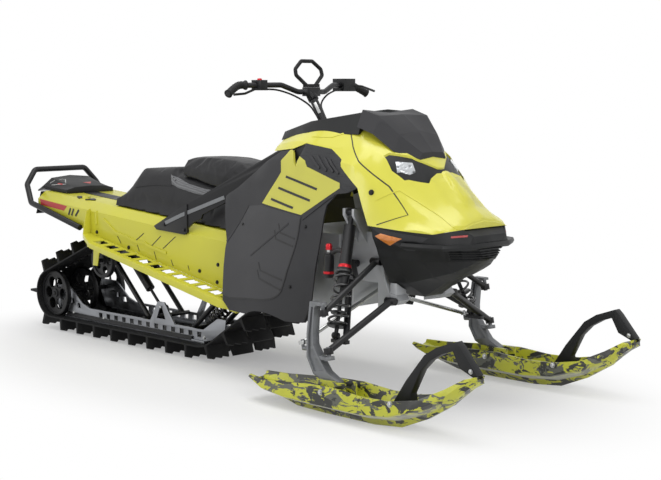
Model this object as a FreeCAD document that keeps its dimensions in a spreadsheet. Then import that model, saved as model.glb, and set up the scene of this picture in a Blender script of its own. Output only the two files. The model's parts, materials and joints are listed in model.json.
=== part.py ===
"""A long-track mountain snowmobile: skis in front, one rubber track behind.

The frame has +X forward, +Y to the machine's left and +Z up. Its origin is on the ground,
at the middle of the machine's length and width. Lengths are in millimetres, angles in degrees.
"""
import FreeCAD
import Part

import math
import os

import Sketcher

Vector = FreeCAD.Vector
doc = FreeCAD.newDocument("Snowmobile")
sheet = doc.addObject("Spreadsheet::Sheet", "Sizes")

# Driving dimensions
SIZES = {
    # Track and the wheels inside it
    "track_width": 406,
    "belt_thickness": 7,
    "lug_height": 63,
    "lug_rows": 27,
    "lug_thickness": 9,
    "lug_gap": 16,
    "lug_teeth": 3,
    "tooth_depth": 9,
    "window_width": 26,
    "window_length": 38,
    "window_y": 95,
    "idler_x": -1372,
    "idler_radius": 113,
    "carrier_x": -968,
    "carrier_z": 383,
    "carrier_radius": 85,
    "drive_x": 108,
    "drive_z": 375,
    "sprocket_radius": 93,
    "rail_curve_x": -240,
    "rail_curve_radius": 173,
    "wheel_width": 22,
    "wheel_rim": 14,
    "wheel_web": 8,
    "wheel_y": 165,
    "axle_radius": 10,
    "rail_y": 140,
    "rail_thickness": 8,
    "rail_depth": 48,
    "slider_depth": 12,
    "slider_width": 30,
    "running_clearance": 0.3,
    # Tunnel and running boards
    "tunnel_clearance": 8,
    "tunnel_wall": 4,
    "tunnel_front_x": 290,
    "tunnel_rear_x": -1440,
    "tunnel_front_z": 560,
    "tunnel_rear_z": 692,
    "tunnel_shoulder": 36,
    "tunnel_shoulder_width": 44,
    "anchor_x": -1120,
    "anchor_y": 150,
    "anchor_radius": 20,
    "anchor_bore": 9,
    "anchor_height": 14,
    "board_front_x": 156,
    "board_front_z": 306,
    "board_rear_x": -1000,
    "board_rear_z": 515,
    "board_outer_y": 330,
    "board_thickness": 4,
    "board_lip_depth": 34,
    "board_lip_width": 14,
    "board_tooth": 7,
    "tail_lower_z": 618,
    "bumper_radius": 14,
    # Seat
    "seat_rear_x": -880,
    "seat_front_x": 60,
    "seat_step_x": -478,
    "seat_low_z": 838,
    "seat_high_z": 890,
    "seat_half_width": 172,
    # Front body
    "hood_wall": 7,
    "ridge_height": 13,
    "lens_depth": 2,
    "lamp_thickness": 15,
    "lip_low_z": 606,
    "lip_height": 22,
    "louvre_pitch": 9,
    "louvre_depth": 6,
    "reflector_depth": 3,
    # Steering
    "bar_x": 277,
    "bar_z": 1183,
    "post_lean": 34,
    "post_radius": 17,
    "bar_radius": 11,
    "bar_half_width": 404,
    # Skis and spindles
    "ski_stance": 957,
    "ski_pivot_x": 905,
    "ski_pivot_z": 98,
    "ski_half_width": 91,
    "ski_bolt_radius": 7,
    "caster": 10.5,
    "lower_joint_x": 862,
    "lower_joint_z": 232,
    "upper_joint_rise": 142,
    "joint_pin_radius": 8,
    "joint_lug_rise": 28,
    "steer_arm": 132,
    "spindle_width": 34,
    "moving_gap": 5,
    "arm_tube_radius": 13,
    "upper_arm_radius": 11,
    "eye_radius": 18,
    "eye_depth": 24,
    "tie_rod_radius": 8,
    "tie_pin_radius": 6,
    "crank_pin_x": 722,
    "crank_pin_z": 400,
    "right_eye_rise": 21,
    "left_eye_drop": 15,
    # Frame in the front body
    "bulkhead_width": 330,
    "bulkhead_rear_x": 640,
    # Front shocks
    "shock_radius": 23,
    "coil_radius": 30,
}
for row, (alias, amount) in enumerate(SIZES.items(), start=1):
    sheet.set(f"A{row}", alias)
    sheet.set(f"B{row}", str(amount))
    sheet.setAlias(f"B{row}", alias)
doc.recompute()


class Size:
    """A length held both as a number and as the sheet formula that gives it."""

    def __init__(self, number, formula):
        self.number = number
        self.formula = formula

    def __add__(self, other):
        return Size(self.number + number_of(other), f"({self.formula} + {text_of(other)})")

    def __radd__(self, other):
        return self + other

    def __sub__(self, other):
        return Size(self.number - number_of(other), f"({self.formula} - {text_of(other)})")

    def __rsub__(self, other):
        return Size(number_of(other) - self.number, f"({text_of(other)} - {self.formula})")

    def __mul__(self, other):
        return Size(self.number * number_of(other), f"({self.formula} * {text_of(other)})")

    def __rmul__(self, other):
        return self * other

    def __truediv__(self, other):
        return Size(self.number / number_of(other), f"({self.formula} / {text_of(other)})")

    def __neg__(self):
        return Size(-self.number, f"(0 - {self.formula})")

    def __float__(self):
        return float(self.number)


def number_of(value):
    """Gives the plain number of a size or a number."""
    return float(value)


def text_of(value):
    """Gives the formula of a size, or the digits of a number."""
    return value.formula if isinstance(value, Size) else repr(value)


def size(alias):
    """Reads a driving dimension from the sheet."""
    return Size(float(sheet.get(alias)), f"Sizes.{alias}")


def bind(thing, name, value):
    """Ties a property to the sheet, or sets it where the value is a plain number."""
    if isinstance(value, Size):
        thing.setExpression(name, value.formula)
    else:
        setattr(thing, name, value)


def point(along, across, up):
    """Gives a point from three sizes or numbers."""
    return Vector(number_of(along), number_of(across), number_of(up))


def origin_plane(body, role):
    """Finds one of a body's own origin planes."""
    return next(plane for plane in body.Origin.OriginFeatures if plane.Role == role)


def outline(body, name, role, corners, offset=None):
    """Draws a closed polygon on an origin plane of the body, each corner tied to the sheet."""
    sketch = body.newObject("Sketcher::SketchObject", name)
    sketch.AttachmentSupport = (origin_plane(body, role), [""])
    sketch.MapMode = "FlatFace"
    if offset is not None:
        sketch.AttachmentOffset = FreeCAD.Placement(Vector(0, 0, number_of(offset)), FreeCAD.Rotation())
        if isinstance(offset, Size):
            sketch.setExpression("AttachmentOffset.Base.z", offset.formula)
    count = len(corners)
    places = [Vector(number_of(u), number_of(v), 0) for u, v in corners]
    sketch.addGeometry([Part.LineSegment(places[i], places[(i + 1) % count]) for i in range(count)], False)
    rules = [Sketcher.Constraint("Coincident", i, 2, (i + 1) % count, 1) for i in range(count)]
    for i, (u, v) in enumerate(corners):
        for kind, value, axis in (("DistanceX", u, -2), ("DistanceY", v, -1)):
            if not isinstance(value, Size) and value == 0:
                rules.append(Sketcher.Constraint("PointOnObject", i, 1, axis))
            else:
                rules.append(Sketcher.Constraint(kind, -1, 1, i, 1, number_of(value)))
    sketch.addConstraint(rules)
    for i, pair in enumerate(corners):
        for side, value in enumerate(pair):
            if isinstance(value, Size):
                sketch.setExpression(f"Constraints[{count + 2 * i + side}]", value.formula)
    return sketch


def pad(body, name, role, corners, length, offset=None, middle=True):
    """Adds material of the given length to a body, to both sides of the outline if middle is set."""
    sketch = outline(body, name + "_outline", role, corners, offset)
    solid = body.newObject("PartDesign::Pad", name)
    solid.Profile = sketch
    bind(solid, "Length", length)
    solid.Midplane = middle
    body.Tip = solid
    return solid


def pocket(body, name, role, corners, length, offset=None, middle=True):
    """Cuts an outline out of a body."""
    sketch = outline(body, name + "_outline", role, corners, offset)
    cut = body.newObject("PartDesign::Pocket", name)
    cut.Profile = sketch
    bind(cut, "Length", length)
    cut.Midplane = middle
    body.Tip = cut
    return cut


def loft(body, name, role, stations, curved=False):
    """Lofts a body through outlines, straight from one to the next unless it is curved.

    A station is an offset and its corners.
    """
    sketches = [outline(body, f"{name}_{i}", role, corners, offset)
                for i, (offset, corners) in enumerate(stations)]
    solid = body.newObject("PartDesign::AdditiveLoft", name)
    solid.Profile = sketches[0]
    solid.Sections = sketches[1:]
    solid.Ruled = not curved
    body.Tip = solid
    return solid


def new_body(name):
    """Makes an empty body."""
    return doc.addObject("PartDesign::Body", name)


def mirrored(source, name):
    """Makes the piece on the machine's other side."""
    twin = doc.addObject("Part::Mirroring", name)
    twin.Source = source
    twin.Base = Vector(0, 0, 0)
    twin.Normal = Vector(0, 1, 0)
    return twin


def rod(name, start, end, radius):
    """Makes a cylinder between two points."""
    cylinder = doc.addObject("Part::Cylinder", name)
    bind(cylinder, "Radius", radius)
    span = end - start
    cylinder.Height = span.Length
    cylinder.Placement = FreeCAD.Placement(start, FreeCAD.Rotation(Vector(0, 0, 1), span))
    return cylinder


def crossbar(name, along, up, reach, radius):
    """Makes a cylinder across the machine, from -reach to +reach."""
    cylinder = doc.addObject("Part::Cylinder", name)
    bind(cylinder, "Radius", radius)
    bind(cylinder, "Height", 2 * reach)
    cylinder.Placement = FreeCAD.Placement(point(along, -reach, up), FreeCAD.Rotation(Vector(1, 0, 0), -90))
    for axis, value in (("x", along), ("y", -reach), ("z", up)):
        if isinstance(value, Size):
            cylinder.setExpression(f"Placement.Base.{axis}", value.formula)
    return cylinder


def disc(name, along, across, up, radius, width):
    """Makes a wheel across the machine, centred at the given place."""
    wheel = doc.addObject("Part::Cylinder", name)
    bind(wheel, "Radius", radius)
    bind(wheel, "Height", width)
    low = across - width / 2
    wheel.Placement = FreeCAD.Placement(point(along, low, up), FreeCAD.Rotation(Vector(1, 0, 0), -90))
    for axis, value in (("x", along), ("y", low), ("z", up)):
        if isinstance(value, Size):
            wheel.setExpression(f"Placement.Base.{axis}", value.formula)
    return wheel


def box(name, low, high):
    """Makes a box between two corners, each of three sizes or numbers."""
    block = doc.addObject("Part::Box", name)
    for side, a, b in zip(("Length", "Width", "Height"), low, high):
        bind(block, side, b - a)
    block.Placement = FreeCAD.Placement(point(*low), FreeCAD.Rotation())
    for axis, value in zip("xyz", low):
        if isinstance(value, Size):
            block.setExpression(f"Placement.Base.{axis}", value.formula)
    return block


def fused(name, *pieces):
    """Joins pieces into one."""
    union = doc.addObject("Part::MultiFuse", name)
    union.Shapes = list(pieces)
    union.Refine = False
    return union


def minus(name, base, tool):
    """Cuts one piece out of another."""
    cut = doc.addObject("Part::Cut", name)
    cut.Base = base
    cut.Tool = tool
    cut.Refine = False
    return cut


def shaped(name, shape):
    """Holds a shape worked out in code from the sheet's sizes."""
    holder = doc.addObject("Part::Feature", name)
    holder.Shape = shape
    return holder


def both_sides(corners):
    """Completes a half outline, given from the top centre down the +Y side, by its mirror image."""
    left = list(corners)
    right = [(-y, z) for y, z in reversed(left) if number_of(y) != 0]
    return left + right


def unit(vector):
    """Gives the vector at length one."""
    return vector / vector.Length


def grown(corners, by):
    """Moves each side of a closed outline, drawn anticlockwise, outwards by a distance."""
    places = [Vector(number_of(u), number_of(v), 0) for u, v in corners]
    moved = []
    for before, here, after in zip(places[-1:] + places[:-1], places, places[1:] + places[:1]):
        first = unit(here - before)
        second = unit(after - here)
        outward = unit(Vector(first.y + second.y, -first.x - second.x, 0))
        reach = by / outward.dot(Vector(first.y, -first.x, 0))
        moved.append((here.x + outward.x * reach, here.y + outward.y * reach))
    return moved


PIECES = []


def piece(thing, label):
    """Names a finished piece, which is written under that name."""
    thing.Label = label
    PIECES.append(thing)
    return thing


# Shared sizes
gap = size("running_clearance")
belt = size("belt_thickness")
lug_height = size("lug_height")
track_width = size("track_width")
idler_radius = size("idler_radius")
idler_x = size("idler_x")
idler_z = lug_height + belt + idler_radius
carrier_x = size("carrier_x")
carrier_z = size("carrier_z")
carrier_radius = size("carrier_radius")
drive_x = size("drive_x")
drive_z = size("drive_z")
sprocket_radius = size("sprocket_radius")
rail_curve_x = size("rail_curve_x")
rail_curve_radius = size("rail_curve_radius")
rail_curve_z = lug_height + belt + rail_curve_radius
rail_y = size("rail_y")
wheel_y = size("wheel_y")
wheel_width = size("wheel_width")
axle_radius = size("axle_radius")
tunnel_wall = size("tunnel_wall")
tunnel_half = track_width / 2 + size("tunnel_clearance") + tunnel_wall


def tunnel_top(along):
    """Height of the tunnel's top at a place along the machine."""
    front_x = size("tunnel_front_x")
    front_z = size("tunnel_front_z")
    slope = (size("tunnel_rear_z") - front_z) / (front_x - size("tunnel_rear_x"))
    return front_z + (front_x - along) * slope


def board_level(along):
    """Height of the running boards' top face at a place along the machine."""
    front_x = size("board_front_x")
    front_z = size("board_front_z")
    slope = (size("board_rear_z") - front_z) / (front_x - size("board_rear_x"))
    return front_z + (front_x - along) * slope


# Track
def belt_loop(grow):
    """Gives the closed line round the four wheels, grown outwards from the belt's inner face."""
    wheels = [(idler_x, idler_z, idler_radius), (rail_curve_x, rail_curve_z, rail_curve_radius),
              (drive_x, drive_z, sprocket_radius), (carrier_x, carrier_z, carrier_radius)]
    centres = [(point(x, 0, z), number_of(r) + grow) for x, z, r in wheels]
    tangents = []
    for i, (centre, radius) in enumerate(centres):
        following, next_radius = centres[(i + 1) % len(centres)]
        span = following - centre
        bearing = math.atan2(span.z, span.x)
        spread = math.acos((radius - next_radius) / span.Length)
        outward = Vector(math.cos(bearing - spread), 0, math.sin(bearing - spread))
        tangents.append((centre + outward * radius, following + outward * next_radius))
    edges = []
    for i, (centre, radius) in enumerate(centres):
        arrive = tangents[i - 1][1]
        leave = tangents[i][0]
        middle = unit(unit(arrive - centre) + unit(leave - centre))
        if (arrive - centre).cross(leave - centre).y > 0:
            middle = -middle
        edges.append(Part.Arc(arrive, centre + middle * radius, leave).toShape())
        edges.append(Part.LineSegment(*tangents[i]).toShape())
    return Part.Wire(edges)


def along_belt(path, shares):
    """Gives places on the belt's outer face at even shares of its length, each with its two directions."""
    steps = 40
    fine = path.discretize(Number=shares * steps + 1)
    middle = Vector(number_of(rail_curve_x) - 300, 0, number_of(carrier_z) - 100)
    places = []
    for i in range(shares):
        place = fine[i * steps]
        forward = unit(fine[i * steps + 1] - place)
        outward = Vector(forward.z, 0, -forward.x)
        if outward.dot(place - middle) < 0:
            outward = -outward
        places.append((place, forward, outward))
    return places


def lug_outline(low, high, tall, teeth):
    """Gives a lug's outline across the belt: a flat root, and a tip that may be cut into slanted teeth."""
    corners = [(low, 0), (high, 0)]
    if teeth == 0:
        return corners + [(high - 3, tall), (low + 3, tall)]
    depth = float(sheet.get("tooth_depth"))
    tooth = (high - low) / teeth
    for i in range(teeth):
        right = high - i * tooth
        corners += [(right - tooth * 0.2, tall), (right - tooth, tall - depth)]
    return corners


def flat_sided(first, second):
    """Makes a solid with flat faces between two outlines that have the same number of corners."""
    rims = [first, second]
    for i in range(len(first)):
        rims.append([first[i - 1], first[i], second[i], second[i - 1]])
    return Part.Solid(Part.Shell([Part.Face(Part.makePolygon(rim + rim[:1])) for rim in rims]))


def build_track():
    """Makes the belt with its windows and its rows of toothed lugs, each square to the belt."""
    width = number_of(track_width)
    thickness = float(sheet.get("lug_thickness"))
    split = float(sheet.get("lug_gap"))
    rows = int(float(sheet.get("lug_rows")))
    path = belt_loop(number_of(belt))
    ring = Part.Face(path).cut(Part.Face(belt_loop(0))).extrude(Vector(0, width, 0))
    ring.translate(Vector(0, -width / 2, 0))
    segments = 3
    lug_width = (width - split * (segments - 1)) / segments
    sunk = number_of(belt) / 2
    tall = number_of(lug_height) + sunk
    lugs = []
    for place, forward, outward in along_belt(path, rows):
        root = place - outward * sunk
        for segment in range(segments):
            low = -width / 2 + segment * (lug_width + split)
            teeth = 0 if segment == 1 else int(float(sheet.get("lug_teeth")))
            outlines = [[root + Vector(0, y, 0) + outward * rise + forward * (side * thickness * (1 - rise / tall / 2))
                         for y, rise in lug_outline(low, low + lug_width, tall, teeth)] for side in (-1, 1)]
            lugs.append(flat_sided(*outlines))
    half_length = float(sheet.get("window_length")) / 2
    half_width = float(sheet.get("window_width")) / 2
    windows = []
    for i, (place, forward, outward) in enumerate(along_belt(path, rows * 4)):
        if i % 2 == 0:
            continue
        for side in (-1, 1):
            middle = place - outward * sunk + Vector(0, side * float(sheet.get("window_y")), 0)
            corners = [middle - outward * (2 * sunk) + forward * (a * half_length) + Vector(0, b * half_width, 0)
                       for a, b in ((-1, -1), (1, -1), (1, 1), (-1, 1), (-1, -1))]
            windows.append(Part.Face(Part.makePolygon(corners)).extrude(outward * (4 * sunk)))
    return ring.cut(windows).multiFuse(lugs)


piece(shaped("Track", build_track()), "track")

# Slide rails, with the slider under each
rail_base_z = lug_height + belt
slider_depth = size("slider_depth")
rail_low = rail_base_z + slider_depth
rail_high = rail_low + size("rail_depth")


def build_rail():
    """Makes one rail: a plate that rises at its front end, with square windows and a slider."""
    body = new_body("Rail")
    toe_x = rail_curve_x + rail_curve_radius * 0.75
    corners = [(idler_x, rail_low), (rail_curve_x, rail_low),
               (rail_curve_x + rail_curve_radius * 0.37, rail_low + 14),
               (toe_x, rail_curve_z - rail_curve_radius * 0.56),
               (toe_x + 6, rail_curve_z - rail_curve_radius * 0.3),
               (toe_x - 50, rail_curve_z - rail_curve_radius * 0.3),
               (rail_curve_x - 20, rail_high), (-460, rail_high), (-535, 223), (-583, 223),
               (-640, rail_high), (-1120, rail_high), (-1180, rail_high + 18),
               (idler_x + 90, idler_z + 40), (idler_x - 40, idler_z + 40), (idler_x - 40, idler_z - 26)]
    pad(body, "Rail_plate", "XZ_Plane", corners, size("rail_thickness"), offset=rail_y)
    pad(body, "Rail_slider", "XZ_Plane",
        [(idler_x + 60, rail_base_z + gap), (rail_curve_x, rail_base_z + gap),
         (rail_curve_x, rail_low), (idler_x + 60, rail_low)], size("slider_width"), offset=rail_y)
    for i in range(13):
        left = rail_curve_x - 60 - i * 62
        pocket(body, f"Rail_window_{i}", "XZ_Plane",
               [(left, rail_low + 12), (left + 28, rail_low + 12),
                (left + 28, rail_high - 12), (left, rail_high - 12)], size("rail_thickness") + 4, offset=rail_y)
    pocket(body, "Rail_bracket_window", "XZ_Plane", [(-592, 144), (-526, 144), (-552, 200), (-566, 200)],
           size("rail_thickness") + 4, offset=rail_y)
    for i, (along, up) in enumerate(((-1210, 132), (-1262, 150))):
        pocket(body, f"Rail_rear_window_{i}", "XZ_Plane",
               [(along - 14, up - 10), (along + 14, up - 10), (along + 8, up + 14), (along - 14, up + 14)],
               size("rail_thickness") + 4, offset=rail_y)
    return body


rail_bore = crossbar("Rail_bore", idler_x, idler_z, rail_y + 30, axle_radius + gap)
rail_right = piece(minus("Rail_right", build_rail(), rail_bore), "slide_rail_right")
piece(mirrored(rail_right, "Rail_left"), "slide_rail_left")


# Rear axle with its idler wheels, carrier wheels, drive axle with sprockets
def wheel(name, along, across, up, radius, hub_radius, holes):
    """Turns a wheel about its axle: a rim, a web with round holes, and a hub."""
    body = new_body(name)
    half = wheel_width / 2
    rim = size("wheel_rim")
    web = size("wheel_web") / 2
    profile = outline(body, name + "_profile", "XY_Plane",
                      [(0, -half), (hub_radius, -half), (hub_radius, -web), (radius - rim, -web),
                       (radius - rim, -half), (radius, -half), (radius, half), (radius - rim, half),
                       (radius - rim, web), (hub_radius, web), (hub_radius, half), (0, half)])
    turned = body.newObject("PartDesign::Revolution", name + "_turned")
    turned.Profile = profile
    turned.ReferenceAxis = (profile, ["V_Axis"])
    turned.Angle = 360
    body.Tip = turned
    ring = body.newObject("Sketcher::SketchObject", name + "_ring")
    ring.AttachmentSupport = (origin_plane(body, "XZ_Plane"), [""])
    ring.MapMode = "FlatFace"
    middle = (number_of(radius - rim) + number_of(hub_radius)) / 2
    hole = (number_of(radius - rim) - number_of(hub_radius)) * 0.36
    for i in range(holes):
        turn = 2 * math.pi * i / holes
        ring.addGeometry(Part.Circle(Vector(middle * math.cos(turn), middle * math.sin(turn), 0),
                                     Vector(0, 0, 1), hole), False)
    cut = body.newObject("PartDesign::Pocket", name + "_holes")
    cut.Profile = ring
    bind(cut, "Length", wheel_width)
    cut.Midplane = True
    body.Tip = cut
    body.Placement = FreeCAD.Placement(point(along, across, up), FreeCAD.Rotation())
    for axis, value in (("x", along), ("y", across), ("z", up)):
        if isinstance(value, Size):
            body.setExpression(f"Placement.Base.{axis}", value.formula)
    return body


hub = axle_radius * 2.2
idlers = [wheel(f"Idler_{i}", idler_x, side * wheel_y, idler_z, idler_radius - gap, hub, 6)
          for i, side in enumerate((-1, 0, 1))]
rear_axle = crossbar("Rear_axle", idler_x, idler_z, wheel_y + wheel_width / 2 + 6, axle_radius)
rear_wheels = fused("Rear_wheels", rear_axle, *idlers)
carriers = [wheel(f"Carrier_{i}", carrier_x, side * wheel_y, carrier_z, carrier_radius - gap, hub, 5)
            for i, side in enumerate((-1, 1))]
carrier_axle = crossbar("Carrier_axle", carrier_x, carrier_z, tunnel_half - tunnel_wall - gap, axle_radius)
piece(fused("Carrier_wheels", carrier_axle, *carriers), "carrier_wheels")
sprockets = [wheel(f"Sprocket_{i}", drive_x, side * 95, drive_z, sprocket_radius - gap, hub, 6)
             for i, side in enumerate((-1, 1))]
drive_axle = crossbar("Drive_axle", drive_x, drive_z, tunnel_half - tunnel_wall - gap, axle_radius * 1.4)
piece(fused("Drive_wheels", drive_axle, *sprockets), "drive_axle")
piece(rear_wheels, "idler_wheels")


# Tunnel
def tunnel_section(along, low):
    """Gives the folded sheet's outline across the machine at one place."""
    top = tunnel_top(along)
    shoulder_width = size("tunnel_shoulder_width")
    shoulder = size("tunnel_shoulder")
    inner_half = tunnel_half - tunnel_wall
    half = [(0, top), (tunnel_half - shoulder_width, top), (tunnel_half, top - shoulder), (tunnel_half, low),
            (inner_half, low), (inner_half, top - shoulder - tunnel_wall / 2),
            (tunnel_half - shoulder_width - tunnel_wall / 2, top - tunnel_wall), (0, top - tunnel_wall)]
    return both_sides(half)


tunnel_front_x = size("tunnel_front_x")
tunnel_rear_x = size("tunnel_rear_x")
board_rear_x = size("board_rear_x")
tunnel = new_body("Tunnel")
front_half = [(tunnel_front_x, board_level(tunnel_front_x)), (board_rear_x, board_level(board_rear_x)),
              (board_rear_x - 40, board_level(board_rear_x) + 12), (tunnel_rear_x, size("tail_lower_z"))]


def tunnel_sheet():
    """Lofts the folded sheet from its front end to its tail."""
    solids = []
    for name, first, last in (("front", 0, 1), ("step", 1, 2), ("tail", 2, 3)):
        stations = [(front_half[i][0], tunnel_section(*front_half[i])) for i in (last, first)]
        solids.append(loft(tunnel, f"Tunnel_{name}", "YZ_Plane", stations))
    return solids


tunnel_sheet()
bracket_low_z = carrier_z - 22
fork_root_z = board_level(carrier_x) + 20
fork_tip_z = fork_root_z - 90
for name, side in (("right", 1), ("left", -1)):
    centre = side * (tunnel_half - tunnel_wall / 2)
    pad(tunnel, f"Tunnel_hanger_{name}", "XZ_Plane",
        [(carrier_x - 18, bracket_low_z), (carrier_x + 18, bracket_low_z),
         (carrier_x + 52, board_level(carrier_x + 52) + 1), (carrier_x - 4, board_level(carrier_x - 4) + 1)],
        tunnel_wall, offset=centre)
    pad(tunnel, f"Tunnel_fork_{name}", "XZ_Plane",
        [(carrier_x - 70, fork_root_z), (carrier_x - 62, fork_tip_z + 6), (carrier_x - 54, fork_tip_z + 6),
         (carrier_x - 40, fork_tip_z + 46), (carrier_x - 28, fork_tip_z + 46), (carrier_x - 20, fork_tip_z),
         (carrier_x - 12, fork_tip_z), (carrier_x + 4, fork_root_z)], tunnel_wall, offset=centre)
    pad(tunnel, f"Tunnel_cheek_{name}", "XZ_Plane",
        [(drive_x - 70, drive_z - 60), (drive_x + 70, drive_z - 60),
         (drive_x + 70, board_level(drive_x) + 60), (drive_x - 70, board_level(drive_x) + 60)],
        tunnel_wall, offset=centre)
anchor_x = size("anchor_x")
anchor_y = size("anchor_y")
anchor_top = tunnel_top(anchor_x) + size("anchor_height")
anchor_rings = []
anchor_holes = []
for name, side in (("right", -1), ("left", 1)):
    for label, radius, holder in (("ring", size("anchor_radius"), anchor_rings),
                                  ("hole", size("anchor_bore"), anchor_holes)):
        post = doc.addObject("Part::Cylinder", f"Anchor_{label}_{name}")
        bind(post, "Radius", radius)
        low = tunnel_top(anchor_x) - (8 if label == "ring" else 40)
        bind(post, "Height", anchor_top - low + (0 if label == "ring" else 10))
        post.Placement = FreeCAD.Placement(point(anchor_x, side * anchor_y, low), FreeCAD.Rotation())
        for axis, value in (("x", anchor_x), ("y", side * anchor_y), ("z", low)):
            post.setExpression(f"Placement.Base.{axis}", value.formula)
        holder.append(post)
tunnel_whole = fused("Tunnel_whole", tunnel, *anchor_rings)
piece(minus("Tunnel_bored", tunnel_whole, fused("Anchor_holes", *anchor_holes)), "tunnel")


# Running boards
def build_board():
    """Makes one running board with its deep outer edge."""
    body = new_body("Board")
    front_x = size("board_front_x")
    thickness = size("board_thickness")
    outer = size("board_outer_y")
    lip = size("board_lip_depth")
    tooth = size("board_tooth")
    inner = tunnel_half + gap
    rear_x = board_rear_x

    def section(along, outer_y, depth):
        top = board_level(along)
        lip_inner = outer_y - size("board_lip_width")
        return [(-inner, top), (-outer_y, top), (-outer_y, top - depth), (-lip_inner, top - depth),
                (-lip_inner, top - thickness), (-inner, top - thickness)]

    loft(body, "Board_sheet", "YZ_Plane",
         [(rear_x, section(rear_x, outer - 70, lip * 0.6)), (rear_x + 150, section(rear_x + 150, outer, lip * 0.7)),
          (front_x - 90, section(front_x - 90, outer, lip)),
          (front_x - 60, section(front_x - 60, outer - 18, lip)),
          (front_x, section(front_x, outer - 18, lip))])
    for i in range(12):
        left = rear_x + 130 + i * 82
        level = board_level(left)
        near = -inner - 18
        far = -outer + 34
        teeth = [(left + 44, far), (left + 38, far + tooth), (left + 32, far),
                 (left + 24, far), (left + 18, far + tooth), (left + 12, far)]
        pocket(body, f"Board_hole_{i}", "XY_Plane",
               [(left, near), (left + 12, near), (left + 18, near - tooth), (left + 24, near), (left + 32, near),
                (left + 38, near - tooth), (left + 44, near), (left + 56, near), (left + 56, far)] + teeth
               + [(left, far)], 60, offset=level + 30, middle=False)
    gusset_low = board_level(rear_x) - thickness
    pad(body, "Board_gusset", "YZ_Plane",
        [(-inner, gusset_low), (-outer + 70, gusset_low), (-outer + 76, gusset_low + 40),
         (-inner - 22, gusset_low + 112), (-inner, gusset_low + 122)], thickness, offset=rear_x + thickness / 2)
    return body


board_right = piece(build_board(), "running_board_right")
piece(mirrored(board_right, "Board_left"), "running_board_left")


# Rear bumper
def bent_tube(name, route, bend, radius):
    """Sweeps a round tube along straight runs joined by arcs of one bend radius."""
    edges = []
    start = route[0]
    for before, corner, after in zip(route, route[1:], route[2:]):
        back = unit(before - corner)
        ahead = unit(after - corner)
        half_turn = back.getAngle(ahead) / 2
        reach = bend / math.tan(half_turn)
        first = corner + back * reach
        last = corner + ahead * reach
        middle = corner + unit(back + ahead) * (bend / math.sin(half_turn) - bend)
        edges.append(Part.LineSegment(start, first).toShape())
        edges.append(Part.Arc(first, middle, last).toShape())
        start = last
    edges.append(Part.LineSegment(start, route[-1]).toShape())
    spine = Part.Wire(edges)
    ring = Part.Wire(Part.Circle(route[0], unit(route[1] - route[0]), radius).toShape())
    return shaped(name, spine.makePipeShell([ring], True, True))


bumper_radius = number_of(size("bumper_radius"))
bumper_y = number_of(tunnel_half) + bumper_radius + number_of(gap)
bumper_route = [Vector(-1065, -bumper_y, 537), Vector(-1480, -bumper_y, 632), Vector(-1545, -bumper_y + 20, 720),
                Vector(-1562, -150, 792), Vector(-1562, 150, 792), Vector(-1545, bumper_y - 20, 720),
                Vector(-1480, bumper_y, 632), Vector(-1065, bumper_y, 537)]
piece(bent_tube("Bumper", bumper_route, 32, bumper_radius), "rear_bumper")

# Tail cover and snow flap
tail_cover = new_body("Tail_cover")
loft(tail_cover, "Tail_cover_shell", "YZ_Plane",
     [(-1540, both_sides([(0, 716), (120, 706), (150, 690), (150, 684), (0, 684)])),
      (-1476, both_sides([(0, 762), (110, 752), (160, 714), (160, tunnel_top(-1476) + gap + 4),
                          (0, tunnel_top(-1476) + gap + 4)])),
      (-1300, both_sides([(0, 716), (90, 712), (140, 700), (140, tunnel_top(-1300) + gap),
                          (0, tunnel_top(-1300) + gap)]))])
piece(tail_cover, "tail_cover")
tail_lamp = new_body("Tail_lamp")
loft(tail_lamp, "Tail_lamp_lens", "YZ_Plane",
     [(-1548, both_sides([(0, 705), (84, 703), (90, 694), (0, 694)])),
      (-1540 - gap, both_sides([(0, 707), (90, 705), (96, 692), (0, 692)]))])
piece(tail_lamp, "tail_lamp")
flap = new_body("Snow_flap")
pad(flap, "Flap_sheet", "XZ_Plane",
    [(-1440.5, 690), (-1446, 690), (-1500, 560), (-1512, 420), (-1506, 420), (-1494, 560), (-1440.5, 676)], 390)
piece(flap, "snow_flap")

# Seat
seat_rear_x = size("seat_rear_x")
seat_front_x = size("seat_front_x")
seat_step_x = size("seat_step_x")
seat_low_z = size("seat_low_z")
seat_high_z = size("seat_high_z")
seat_half = size("seat_half_width")


def seat_section(along, top, top_half, bulge):
    """Gives the seat's outline across the machine at one place, resting on the tunnel."""
    floor = tunnel_top(along) + gap
    return both_sides([(0, top), (top_half, top), (top_half + 26, top - 34), (bulge, floor + 46),
                       (seat_half, floor), (0, floor)])


seat = new_body("Seat")
seat_seam_x = seat_step_x + 10
seat_bend_x = seat_step_x + 293
loft(seat, "Seat_base", "YZ_Plane",
     [(seat_rear_x, seat_section(seat_rear_x, 700, 96, 158)),
      (seat_rear_x + 130, seat_section(seat_rear_x + 130, seat_low_z - 14, 84, 146)),
      (seat_step_x - 22, seat_section(seat_step_x - 22, seat_low_z, 84, 142)),
      (seat_seam_x, seat_section(seat_seam_x, seat_low_z - 30, 84, 142)),
      (seat_bend_x, seat_section(seat_bend_x, seat_low_z - 82, 88, 146)),
      (seat_front_x, seat_section(seat_front_x, seat_low_z - 98, 92, 150))])
piece(seat, "seat_base")
cushion = new_body("Cushion")


def seam_level(along):
    """Height of the seam between the seat's base and its cushion."""
    first, last, drop, low = ((seat_seam_x, seat_bend_x, 52, seat_low_z - 30)
                              if number_of(along) < number_of(seat_bend_x)
                              else (seat_bend_x, seat_front_x, 16, seat_low_z - 82))
    return low - (along - first) * drop / (last - first) + gap


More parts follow.
